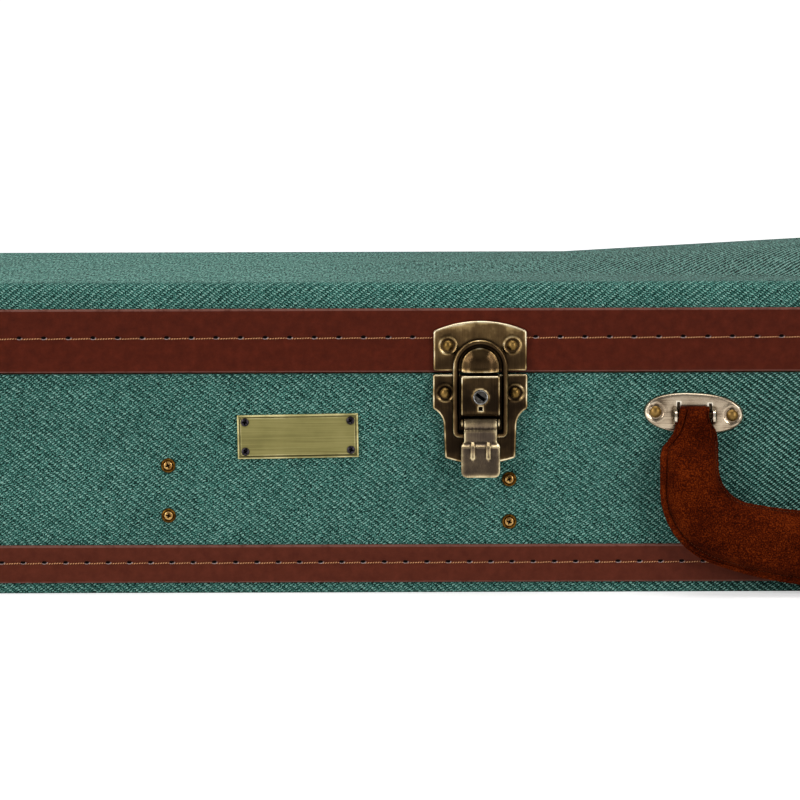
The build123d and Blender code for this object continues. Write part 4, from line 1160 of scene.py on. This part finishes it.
def latchLever(shell):
    # barrel rolled round the pin, flat neck, step outwards, thumb piece with two pressed ribs
    v, w = latch["pivot"]
    neck, (stepTop, stepLow, stepOut) = latch["neckHalf"], latch["step"]
    half, tip, lean, corner = latch["thumb"]
    barrel = latch["barrel"]
    offset, ribLow, ribHigh, ribHalf, ribRise = latch["ribs"]
    crestRise, crestDrop, crestHalf = latch["crest"]
    grooveDeep, grooveDrop, grooveHalf = latch["groove"]

    def surface(x, y):
        flat = w + barrel
        rolled = w + np.sqrt(np.clip(barrel**2 - (y - v) ** 2, 0.3, None))
        out = np.clip((stepTop - y) / (stepTop - stepLow), 0, 1)
        out = stepOut * out * out * (3 - 2 * out)
        leaning = lean * np.clip((stepLow - y) / (stepLow - tip), 0, 1) ** 1.3
        crest = crestRise * np.exp(-(((y - stepLow + crestDrop) / crestHalf) ** 2))
        groove = -grooveDeep * np.exp(-(((y - v + barrel + grooveDrop) / grooveHalf) ** 2))
        ribs = np.zeros_like(x)
        for u in (-offset, offset):
            reach = np.hypot(x - u, y - np.clip(y, ribLow + ribHalf, ribHigh - ribHalf))
            ribs += ribRise * np.sqrt(np.clip(1 - (reach / ribHalf) ** 2, 0, 1))
        face = np.where(y > v, rolled, flat + out + leaning + crest + groove)
        return np.minimum(face + ribs, latch["front"])

    top = v + barrel - 0.15
    ring = [(half, tip, corner), (half, stepLow + 0.4, 1.0), (neck, stepTop + 0.4, 0.8), (neck, top, 0.5)]
    ring = [(-half, tip, corner)] + ring + [(-u, y, r) for u, y, r in reversed(ring[1:])]
    loop = roundedLoop(ring, step=0.6)
    rows = [(0.3, -latch["leaf"], "top"), (0.0, 0.3 - latch["leaf"], "top")]
    rows += [(i, z - 0.9, "top") for i, z in roundCorner((0.45, 0.45), 0.45, 180, -90, 4)]
    addSweep(shell, loop, rows, top=surface)
    ribMesh = [(u + du, y) for u in (-offset, offset) for du in np.linspace(-ribHalf, ribHalf, 9)
               for y in np.arange(ribLow - 0.3, ribHigh + 0.3, 0.35)]
    creases = [stepLow - crestDrop + d for d in (-0.9, -0.55, -0.25, 0.0, 0.25, 0.55, 0.9)]
    creases += [v - barrel - grooveDrop + d for d in (-0.5, -0.2, 0.1, 0.4)]
    ribMesh += [(u, y) for u in np.linspace(-half + 0.9, half - 0.9, 30) for y in creases]
    addSheet(shell, loop, 0.45, 0.8, surface, extra=ribMesh)
    addSheet(shell, loop, 0.3, 1.2, lambda x, y: surface(x, y) - latch["leaf"], up=-1)
    turns = [radians(a) for a in np.linspace(0, 330, 12)]
    start = len(shell.points)
    for u in (-neck, neck):
        shell.points += [(u, v + barrel * cos(t), w + barrel * sin(t)) for t in turns]
    addGrid(shell, start, 2, 12, lambda i, j: (0, 0))
    addCaps(shell, start, start + 12, 12)
    bailV, bailW, inner, outer, radius = latch["bailEye"]
    for low, high in ((inner, outer), (-outer, -inner)):
        eyePlate(shell, low, high, bailV, bailW + 0.6, radius, bailW - 1.4)


def wireBail(shell):
    # a wire bent to a round-topped loop, its ends turned in through the lever's eyes
    half, crown, radius, corner = latch["bail"]
    low, out, eye = latch["bailEye"][:3]
    quarter = np.linspace(0, pi / 2, 5)
    bend = [(half - corner + corner * sin(t), low + corner - corner * cos(t)) for t in quarter]
    arc = [(half * cos(t), crown - half + half * sin(t)) for t in np.linspace(0, pi / 2, 13)]
    side = [(eye - 0.6, low)] + bend + arc
    path = [(-u, v) for u, v in side[:-1]] + side[::-1]
    sides, start, rows = 24, len(shell.points), []
    turns = roundTurns(sides)
    for i, (u, v) in enumerate(path):
        ahead = np.array(path[min(i + 1, len(path) - 1)]) - np.array(path[max(i - 1, 0)])
        ahead = radius * ahead / np.hypot(*ahead)
        rows.append([(u - ahead[1] * cos(a), v + ahead[0] * cos(a), out + radius * sin(a)) for a in turns])
    addTube(shell, rows, range(len(rows)))
    shell.turns = turns * len(rows)
    addCaps(shell, start, start + (len(path) - 1) * sides, sides)


def paintWireLight(piece, turns):
    # a wire is given a painted highlight on its outer shoulder and front, and painted shade: black where it
    # faces its inside, darker where it faces outwards; turns is the angle of each point round the wire, from
    # outwards over the front
    turns = np.degrees(np.array(turns))
    shoulder, front = np.exp(-(((turns - 48) / 15) ** 2)), np.exp(-(((turns - 84) / 9) ** 2))
    inside, outside = np.clip((turns - 98) / 24, 0, 1), np.clip((14 - turns) / 14, 0, 1)
    lighterTone = shoulder + 0.45 * front
    lighterTone -= 0.9 * inside + 0.5 * outside
    piece.data.attributes.new("lighterTone", "FLOAT", "POINT").data.foreach_set("value", lighterTone)


def onWall(shell, place):
    # from the latch's own u, v and w to the case's x, y and z
    x, y = latch["places"][place]
    if place == "tail":
        shell.points = [(x + w, y + u, v) for u, v, w in shell.points]
    else:
        shell.points = [(x + u, y - w, v) for u, v, w in shell.points]
    return shell


# painted reflections: bands on the faces that mirror the dark and the light of the room, as (height, amount)
plateReflections = [(58, 0.3), (63, 0), (90, 0), (97, 0.15)]
strikeReflections = [(99, -0.15), (108, 0.1), (116, 0.45), (121, 0.6)]
leverReflections = [
    (52.7, 0.15), (57, 0.0), (61, 0.05), (63, 0.1), (64.6, -0.2), (65.8, -0.35), (66.5, 0.1), (67.6, 0.1),
    (70, 0.0), (72.5, 0.0), (73.6, 0.1), (74.3, -0.6), (75.2, 0.1), (76.4, 0.35), (77.4, -0.2), (78.8, 0.5),
]
strikes = newShell()
for place in latch["places"]:
    one = newShell()
    strikePlate(one)
    addShell(strikes, onWall(one, place))
    one = newShell()
    basePlate(one, place == "neck")
    piece = makePiece(place + "LatchPlate", onWall(one, place), "lockBrass", sharp=40)
    wearEdgesAndPaintReflections(piece, paintedReflections=plateReflections)
    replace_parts(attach(piece, "base"), f"latch_{place}_plate")
    one = newShell()
    latchLever(one)
    piece = makePiece(place + "LatchLever", onWall(one, place), "leverBrass", sharp=40)
    wearEdgesAndPaintReflections(piece, 1.0, leverReflections)
    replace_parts(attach(piece, f"lever_{place}"), f"latch_{place}_lever")
for place in latch["places"]:
    one = newShell()
    wireBail(one)
    piece = makePiece(place + "LatchBail", onWall(one, place), "bailBrass", sharp=60, merge=False)
    paintWireLight(piece, one.turns)
    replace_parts(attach(piece, f"bail_{place}"), f"latch_{place}_bail")
piece = makePiece("strikePlates", strikes, "latchBrass", sharp=40)
wearEdgesAndPaintReflections(piece, paintedReflections=strikeReflections)
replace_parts(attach(piece, "lid"), "latch_strike_plates")
print("latches made")

# Small hardware: lock core, handle brackets, name plate and the screws
fittings = dict(
    core=(3.25, 11.7, 2.75, 0.55),  # radius, face, radius and depth of the sunk disc in it
    keySlot=(2.2, 0.72, -38.0, 1.6),  # half length, half width, turn, depth
    bracket=(22.0, 9.2, 2.0, 1.5),  # half length, half height, face, rim
    bracketZ=79.5,
    bracketTilt=2.9,
    bracketRivet=16.9,
    ear=(7.7, 9.1, -0.9, 6.5, 3.2, 4.6),  # from, to, v, w, radius, half foot
    earSlot=(6.3, 7.7, 4.9),
    plate=(-211.9, 69.9, 53.3, 19.4, 0.85),  # x, z, width, height, tilt
    plateScrew=(23.25, 6.5, 0.9, 1.85, 0.9),
    wallScrew=(2.0, 1.5),
    screwRows=[(-269.2, (57.0, 34.7)), (-118.8, (50.5, 31.6))],
)


def keyCore():
    shell, v = newShell(), latch["keyHole"][0]
    radius, face, disc, sunk = fittings["core"]
    half, narrow, turn, deep = fittings["keySlot"]
    turn = radians(turn)

    def surface(x, y):
        away = np.hypot(x, y - v)
        along = np.abs(x * cos(turn) + (y - v) * sin(turn))
        across = np.abs(-x * sin(turn) + (y - v) * cos(turn))
        slot = np.clip((half - along) / 0.15, 0, 1) * np.clip((narrow - across) / 0.15, 0, 1)
        return face - sunk * np.clip((disc - away) / 0.2, 0, 1) - deep * slot

    loop = circleLoop(0, v, radius, count=40)
    addSweep(shell, loop, [(0.0, 9.0), (0.0, face - 0.3), (0.1, face - 0.08), (0.3, 0.0, "top")], top=surface)
    rim = len(shell.faces)
    addSheet(shell, loop, 0.3, 0.14, surface)
    depths = [face - min(shell.points[i][2] for i in corners) for corners in shell.faces[rim:]]
    # faces deeper than 1 mm, in the key slot, are near black as painted shade
    shell.slots = [0] * rim + [1 if depth > 1.0 else 2 if depth > 0.3 else 0 for depth in depths]
    piece = makePiece("keyCore", onWall(shell, "neck"), ["chrome", "recessShade", "keyFace"], sharp=40)
    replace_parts(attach(piece, "key_cylinder"), "latch_key_cylinder")


def handleBracket(name, side):
    shell = newShell()
    half, tall, face, rim = fittings["bracket"]
    reach = fittings["bracketRivet"]
    spots = [(-reach, 0.0), (reach, 0.0)]

    def surface(x, y):
        bulge = np.clip(1 - (x / half) ** 2 - (y / tall) ** 2, 0, 1)
        return face + 0.3 * bulge + dimple(x, y, spots, (0.5, 3.0, 0.6), (0.15, 4.2, 0.5))

    turns, power = np.linspace(0, 2 * pi, 97)[:-1], 2.25  # fuller than an ellipse, whose power is 2
    full = [(abs(cos(t)) ** power + abs(sin(t)) ** power) ** (-1 / power) for t in turns]
    loop = closedLoop([(half * cos(t) * f, tall * sin(t) * f) for t, f in zip(turns, full)])
    near, far, high = fittings["earSlot"]
    holes = [roundedLoop([(a, -high, 0.2), (b, -high, 0.2), (b, high, 0.2), (a, high, 0.2)], step=1.0)
             for a, b in ((near, far), (-far, -near))]
    pressedPlate(shell, loop, 0.05, rim, surface, 0.9, holes=holes, spots=spots)
    for hole in holes:
        boreWall(shell, hole, 0.3, surface)
    tilt = radians(side * fittings["bracketTilt"])
    shell.points = [(*spin(x, y, tilt), w) for x, y, w in shell.points]
    low, high, v, w, radius, foot = fittings["ear"]
    for a, b in ((low, high), (-high, -low)):
        eyePlate(shell, a, b, v, w, radius, 1.2, foot)
    x = grip["x"] + side * grip["span"]
    shell.points = [(x + u, grip["wall"] - w, fittings["bracketZ"] + v) for u, v, w in shell.points]
    piece = makePiece(name + "Bracket", shell, "bracketBrass", sharp=40)
    wearEdgesAndPaintReflections(piece, 0.3)
    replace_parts(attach(piece, "base"), f"handle_bracket_{name}")


def crossRecess(x, y, reach, half, deep):
    # depth of a cross-shaped recess that narrows towards its ends
    arms = np.zeros_like(x)
    for a, b in ((np.abs(x), np.abs(y)), (np.abs(y), np.abs(x))):
        width = half * (1.25 - 0.5 * a / reach)
        arms = np.maximum(arms, np.clip((reach - a) / 0.25, 0, 1) * np.clip((width - b) / 0.12, 0, 1))
    return deep * arms * (1.15 - 0.6 * np.hypot(x, y) / reach)


def screwHead(shell, radius, low, rise, cup):
    # a low domed head with its cross recess, standing in a cup washer if there is one
    loop = circleLoop(0, 0, radius, count=30)
    inset, cross = 0.12, (0.62 * radius, 0.16 * radius)

    def surface(x, y):
        dome = (1 - (np.hypot(x, y) / radius) ** 2) ** 0.5
        return low + rise * dome * 0.6 + rise * 0.4 - crossRecess(x, y, *cross, 0.8)

    addSweep(shell, loop, [(0.0, low - 0.5), (0.0, low + 0.15 * rise), (inset, 0.0, "top")], top=surface)
    addSheet(shell, loop, inset, 0.13, surface)
    middles = np.array([np.mean([shell.points[i][:2] for i in face], axis=0) for face in shell.faces])
    # the deep faces of the cross are near black: painted shade
    inRecess = crossRecess(*middles.T, *cross, 1.0) > 0.3
    shell.slots = [int(deep) for deep in inRecess]
    if cup:
        ring = circleLoop(0, 0, cup, count=36)
        rows = [(0.0, -0.2), (0.0, 0.35), (0.15, 0.75), (0.45, 1.1), (0.7, 1.15), (0.95, 0.95)]
        addSweep(shell, ring, rows + [(cup - radius + 0.1, 0.2)])
        shell.slots += [2] * (len(shell.faces) - len(shell.slots))


def wallScrews():
    shell = newShell()
    radius, rise = fittings["wallScrew"]
    for x, heights in fittings["screwRows"]:
        for side in (-1, 1):
            for number, z in enumerate(heights):
                one = newShell()
                screwHead(one, radius, 0.5, rise - 0.5, 3.3)
                turn = 0.35 + 0.9 * number + 0.4 * side + 0.01 * x  # no two crosses lie alike
                one.points = [(*spin(u, v, turn), w) for u, v, w in one.points]
                addShell(shell, one, lambda u, v, w: (x - side * u, side * (case["neckHalf"] + w), z + v))
    piece = makePiece("wallScrews", shell, ["screwBrass", "recessShade", "washerBrass"], sharp=40)
    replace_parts(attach(piece, "base"), "partition_screws", "partition_cup_washers")


def namePlate():
    x, z, width, height, tilt = fittings["plate"]
    tilt = radians(tilt)
    half, tall = width / 2, height / 2

    def onFront(shell):
        level = [(*spin(u, v, tilt), w) for u, v, w in shell.points]
        shell.points = [(x + u, -case["neckHalf"] - w, z + v) for u, v, w in level]
        return shell

    shell = newShell()
    loop = roundedLoop([(-half, -tall, 0), (half, -tall, 0), (half, tall, 0), (-half, tall, 0)], step=1.5)
    rows = [(0.0, 0.05), (0.0, 1.0)] + roundCorner((0.3, 1.0), 0.3, 180, -90, 3)[1:]
    field = 0.9  # the plate's face, inside a raised border and a groove
    rows += [(0.5, 1.3), (0.75, 1.22), (0.9, 0.7), (1.25, 0.65), (1.4, 0.88)]
    addSweep(shell, loop, rows + [(inset, field) for inset in (1.6, 1.8, 2.0)])
    addSheet(shell, loop, 2.0, 2.0, field)
    piece = makePiece("namePlate", onFront(shell), "plateBrass", sharp=50)
    wearEdgesAndPaintReflections(piece, 0.3)
    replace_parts(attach(piece, "base"), "name_plate")
    shell = newShell()
    reach, rise, low, radius, tallness = fittings["plateScrew"]
    for number, (a, b) in enumerate(((-1, -1), (1, -1), (1, 1), (-1, 1))):
        one, turn = newShell(), 0.5 + 0.8 * number
        screwHead(one, radius, low - 0.3, tallness + 0.3, None)
        one.points = [(*spin(u, v, turn), w) for u, v, w in one.points]
        addShell(shell, one, lambda u, v, w: (a * reach + u, b * rise + v, w))
    piece = makePiece("namePlateScrews", onFront(shell), ["blackSteel", "recessShade"], sharp=40)
    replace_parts(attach(piece, "base"), "name_plate_screws")


keyCore()
handleBracket("left", -1)
handleBracket("right", 1)
wallScrews()
namePlate()
print("small hardware made")

# Inside: plush linings, padded floors, a cradle round the banjo's pot and pads for its neck
lining = dict(
    wallFace=9.0,
    wallTop=72.0,
    lidFace=8.2,
    lidFrom=107.6,
    lidCorner=5.0,
    valance=(6.05, 8.5, 72.0, 105.5),
    floor=(6.0, 12.0),
    boards=(-271.7, -266.7, -121.3, -116.3),
    cradleRadius=177.0,
    cradleStart=180.0,
    cradleTop=58.0,
    notchHalf=30.0,
    notchBottom=66.0,
    notchCorner=14.0,
    boardTop=91.0,
    trayLid=(-265.7, -122.3, 94.0, 58.0, 63.0),
    tab=(-204.0, -184.0, -88.0, -60.0, 63.0, 64.6),
    tabRing=(-194, -74, 11, 0.25, 0.6),  # pressed line: its centre, radius, depth and width
)


def boxLoop(low, high, corner, step=4.0):
    # a rectangle with rounded corners
    points = []
    left, right, front, back = low[0] + corner, high[0] - corner, low[1] + corner, high[1] - corner
    for x, y, start in ((right, front, -90), (right, back, 0), (left, back, 90), (left, front, 180)):
        points += roundCorner((x, y), corner, start, 90, 6)
    return divided(points, step, ceil)


def clippedPlan(inset, keep):
    # the part of the case's outline that keep accepts, closed by the straight line across it
    points = plan["points"] - plan["normals"] * inset
    kept = [i for i in range(len(points)) if keep(points[i][0])]
    first = next(i for i in kept if (i - 1) % len(points) not in kept)
    chain = [tuple(points[(first + k) % len(points)]) for k in range(len(kept))]
    (ax, ay), (bx, by) = chain[-1], chain[0]
    count = ceil(hypot(bx - ax, by - ay) / case["step"])
    chain += [(ax + (bx - ax) * i / count, ay + (by - ay) * i / count) for i in range(1, count)]
    return closedLoop(chain)


def plushPad(shell, loop, bottom, top, softness, crown=0.0, spacing=8.0):
    # a closed pad whose upper edge is rounded and whose top swells towards the middle
    tree = kdtree.KDTree(len(loop["points"]))
    for i, (x, y) in enumerate(loop["points"]):
        tree.insert((x, y, 0), i)
    tree.balance()

    def swell(xs, ys):
        reach = np.array([tree.find((x, y, 0))[2] for x, y in zip(xs, ys)])
        rise = np.clip((reach - softness) / (6 * softness), 0, 1)
        return top - crown * (1 - rise) ** 2

    low = top - crown - softness
    profile = [(softness * 0.5, bottom), (0.0, bottom + softness * 0.4), (0.0, low)]
    profile += roundCorner((softness, low), softness, 180, -90, 5)[1:]
    addSweep(shell, loop, profile)
    addSheet(shell, loop, softness, spacing, swell)
    addSheet(shell, loop, softness * 0.5, 60.0, bottom, up=-1)


def wallLining():
    shell, face, top = newShell(), lining["wallFace"], lining["wallTop"]
    profile = [(6.05, 6.2), (6.05, top - 1.0)] + roundCorner((7.5, top - 1.5), 1.5, 180, -180, 6)
    profile += [(face, z) for z in np.linspace(top - 6, 7.0, 8)] + [(face - 0.5, 6.2)]
    addSweep(shell, plan, profile)
    return shell


def valanceStrip():
    shell = newShell()
    outer, inner, low, high = lining["valance"]
    middle, half = (outer + inner) / 2, (inner - outer) / 2
    profile = [(middle, low)] + roundCorner((middle, low + half), half, 270, -90, 4)[1:]
    profile += [(outer, z) for z in (low + 12, low + 24)]
    profile += roundCorner((middle, high - half), half, 180, -180, 6)
    profile += [(inner, z) for z in (low + 24, low + 12)]
    profile += roundCorner((middle, low + half), half, 0, -90, 4)
    addSweep(shell, plan, profile)
    return shell


def lidLining():
    shell, face = newShell(), lining["lidFace"]
    ceiling, corner = case["lidTop"] - face, lining["lidCorner"]
    profile = [(5.4, lining["lidFrom"] + 1.0), (5.8, lining["lidFrom"]), (face - 0.6, lining["lidFrom"])]
    profile += [(face, lining["lidFrom"] + 0.8), (face, ceiling - corner - 4)]
    profile += roundCorner((face + corner, ceiling - corner), corner, 180, -90, 6)
    addSweep(shell, plan, profile)
    shell.faces = [corners[::-1] for corners in shell.faces]  # seen from inside
    shell.uvs = [corners[::-1] for corners in shell.uvs]
    addSheet(shell, plan, face + corner, 8.0, lambda x, y: archHeight(x, y) - face, up=-1)
    return shell


def floorPads():
    shell, inset = newShell(), lining["wallFace"]
    low, high = lining["floor"]
    a, b, c, d = lining["boards"]
    loops = [
        clippedPlan(inset, lambda x: x <= a),
        boxLoop((b, -96.0), (c, 96.0), 3.0),
        clippedPlan(inset, lambda x: x >= d),
    ]
    for loop in loops:
        plushPad(shell, loop, low + 0.05, high, 3.0, crown=1.0)
    return shell


def potCradle():
    shell, r = newShell(), lining["cradleRadius"]
    points = plan["points"] - plan["normals"] * lining["wallFace"]
    outer = [tuple(p) for p in points if p[0] >= lining["cradleStart"]]
    first = min(range(len(outer)), key=lambda i: (outer[i][0] > lining["cradleStart"] + 6, outer[i][1]))
    outer = outer[first:] + outer[:first]
    reach = degrees(atan2(sqrt(r**2 - (potX - lining["cradleStart"]) ** 2), lining["cradleStart"] - potX))
    inner = [(potX + r * cos(radians(t)), r * sin(radians(t))) for t in np.linspace(reach, -reach, 130)]
    plushPad(shell, closedLoop(outer + inner), lining["floor"][1], lining["cradleTop"], 2.6, crown=0.3)
    return shell


def saddlePads():
    # a folded strip of plush that follows the notch, thickest in the middle of the board
    shell = newShell()
    half, low, corner = lining["notchHalf"], lining["notchBottom"], lining["notchCorner"]
    path = [(-half, z, 1, 0) for z in np.linspace(lining["boardTop"], low + corner + 2, 5)]
    for turn in np.linspace(180, 270, 8):
        t = radians(turn)
        path.append((-half + corner + corner * cos(t), low + corner + corner * sin(t), -cos(t), -sin(t)))
    path += [(y, low, 0, 1) for y in np.linspace(-half + corner + 3, 0, 4)]
    path += [(-y, z, -ny, nz) for y, z, ny, nz in reversed(path[:-1])]
    section = [(2.7 * cos(radians(a)), 0.1 + 2.9 * sin(radians(a)) ** 0.7) for a in np.linspace(0, 180, 11)]
    section = [(2.7, -1.2)] + section + [(-2.7, -1.2)]
    for middle, _ in fittings["screwRows"]:  # on the boards that the screws hold
        start, count = len(shell.points), len(section)
        for y, z, ny, nz in path:
            shell.points += [(middle + s, y + ny * h, z + nz * h) for s, h in section]
        addGrid(shell, start, len(path), count, lambda i, j: (i, j), closed=False)
        for row, turn in ((start, -1), (start + (len(path) - 1) * count, 1)):
            shell.faces.append(tuple(row + i for i in range(count))[::turn])
            shell.uvs.append([(i, 0) for i in range(count)])
    return shell


def compartmentCover():
    shell = newShell()
    low, high, half, bottom, top = lining["trayLid"]
    plushPad(shell, boxLoop((low, -half), (high, half), 3.0), bottom, top, 1.8, crown=0.4)
    return shell


def pullTab():
    shell = newShell()
    left, right, front, back, bottom, top = lining["tab"]
    loop = boxLoop((left, front), (right, back), 4.0, step=1.0)
    edge = [(0.3, bottom), (0.0, bottom + 0.3), (0.0, top - 0.5), (0.2, top - 0.15), (0.6, top)]
    addSweep(shell, loop, edge)
    x, y, radius, deep, width = lining["tabRing"]

    def pressed(u, v):
        return top - deep * np.exp(-((np.hypot(u - x, v - y) - radius) ** 2) / width)

    addSheet(shell, loop, 0.6, 2.0, pressed)
    return shell


insidePieces = [  # name and shell, body, slot, nodes it stands for, and how full a pad is
    ("wallLining", wallLining(), "base", "plush", ["base_lining"], 0.5),
    ("valanceCover", valanceStrip(), "base", "plush", ["base_valance"], None),
    ("lidLining", lidLining(), "lid", "plush", ["lid_lining"], 0.5),
    ("floorPads", floorPads(), "base", "plush", ["neck_floor_pad", "pot_floor_pad"], 0.7),
    ("potCradle", potCradle(), "base", "plush", ["pot_cradle_pad"], 0.8),
    ("saddlePads", saddlePads(), "base", "plush", ["neck_saddle_pads"], 0.8),
    ("compartmentCover", compartmentCover(), "compartment_lid", "plush", ["compartment_lid"], 0.6),
    ("pullTab", pullTab(), "compartment_lid", "brown_leather", ["compartment_pull_tab"], None),
]
for name, shell, body, slot, stoodFor, fill in insidePieces:
    piece = makePiece(name, shell, "plush" if slot == "plush" else "lidLeather", sharp=70)
    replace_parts(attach(piece, body), *stoodFor)
print("inside made:", len(insidePieces), "pieces")

# White floor that sweeps up into a backdrop far behind and keeps the shadow; plain grey elsewhere
studio = dict(
    floorHalf=60.0,
    sweepStart=7.0,
    sweepRadius=3.0,
    backdropTop=7.0,
    paint="#d9d9d9",
    glowFrom=(0.9, 3.0),  # distances from the case, in metres
    glowNear=0.46,
    glowFar=0.85,
    surround=0.3,
    lamps=[  # name, place, aim, size and watts
        ("overhead", (-0.2, -0.3, 2.1), (-0.15, -0.05, 0.05), (1.8, 0.8), 20.0),
        ("tallLeft", (-1.75, -1.5, 0.95), (-0.15, -0.1, 0.08), (0.5, 1.5), 21.5),
        ("tallRight", (1.45, -1.7, 0.95), (-0.15, -0.1, 0.08), (0.5, 1.5), 21.5),
        ("back", (0.2, 2.2, 1.8), (0.0, 0.0, 0.08), (1.6, 0.8), 12.0),
    ],
)


def whiteFloor():
    half, start, radius = studio["floorHalf"], studio["sweepStart"], studio["sweepRadius"]
    line = [(-half, 0.0), (start, 0.0)]
    line += [(start + radius * sin(a), radius - radius * cos(a)) for a in np.linspace(0.05, pi / 2, 16)]
    line.append((start + radius, studio["backdropTop"]))
    points = [(x, y, z) for y, z in line for x in (-half, half)]
    faces = [(2 * i, 2 * i + 1, 2 * i + 3, 2 * i + 2) for i in range(len(line) - 1)]
    mesh = bpy.data.meshes.new("floor")
    mesh.from_pydata(points, [], faces)
    mesh.shade_smooth()
    made = bpy.data.objects.new("floor", mesh)
    bpy.context.scene.collection.objects.link(made)
    paint, add, _ = newFinish("whiteFloor", {"Base Color": studio["paint"], "Roughness": 0.9})
    path = add("LightPath")
    rays = [path.outputs[f"Is {ray} Ray"] for ray in ("Camera", "Glossy", "Transmission")]
    seen = add("Math", rays[:2], operation="MAXIMUM")
    seen = add("Math", [seen, rays[2]], operation="MAXIMUM")
    # less lamp light reaches the far floor and the backdrop, so these glow more
    place = add("TexCoord").outputs["Object"]
    away = add("VectorMath", [place], operation="LENGTH").outputs["Value"]
    near, far = studio["glowFrom"]
    strength = add("MapRange", [away, near, far, studio["glowNear"], studio["glowFar"]])
    glow = add("Emission", {"Color": "#ffffff", "Strength": strength})
    tree = paint.node_tree
    shader = tree.nodes["Principled BSDF"]
    both = add("AddShader", [shader, glow])
    feed(tree, tree.nodes["Material Output"], {0: add("MixShader", [seen, shader, both])})
    mesh.materials.append(paint)


def greySurround():
    world = bpy.data.worlds.new("studio")
    bpy.context.scene.world = world
    world.use_nodes = True
    background = world.node_tree.nodes["Background"]
    background.inputs["Color"].default_value = linear("#ffffff")
    background.inputs["Strength"].default_value = studio["surround"]


def aimAt(item, aim):
    item.rotation_euler = (Vector(aim) - item.location).to_track_quat("-Z", "Y").to_euler()


whiteFloor()
greySurround()
for name, place, aim, size, watts in studio["lamps"]:
    light = bpy.data.lights.new(name, "AREA")
    light.shape = "RECTANGLE"
    light.size, light.size_y = size
    light.energy = watts
    lamp = bpy.data.objects.new(name, light)
    lamp.location = place
    bpy.context.scene.collection.objects.link(lamp)
    aimAt(lamp, aim)

# Camera: a long lens 1.5 m from the front wall, a little above it
view = dict(place=(-166.9, -1605.0, 249.3), aim=(-166.9, -105.0, 85.7), widthThere=352.0, roll=-0.17)
camera = bpy.data.objects.new("camera", bpy.data.cameras.new("camera"))
bpy.context.scene.collection.objects.link(camera)
camera.location = Vector(view["place"]) * mm
aimAt(camera, Vector(view["aim"]) * mm)
camera.rotation_euler.rotate_axis("Z", radians(view["roll"]))
reach = (Vector(view["aim"]) - Vector(view["place"])).length
camera.data.lens = camera.data.sensor_width * reach / view["widthThere"]
camera.data.clip_start, camera.data.clip_end = 0.05, 30.0
bpy.context.scene.camera = camera
bpy.context.scene.view_settings.view_transform = "Standard"

print("scene ready")
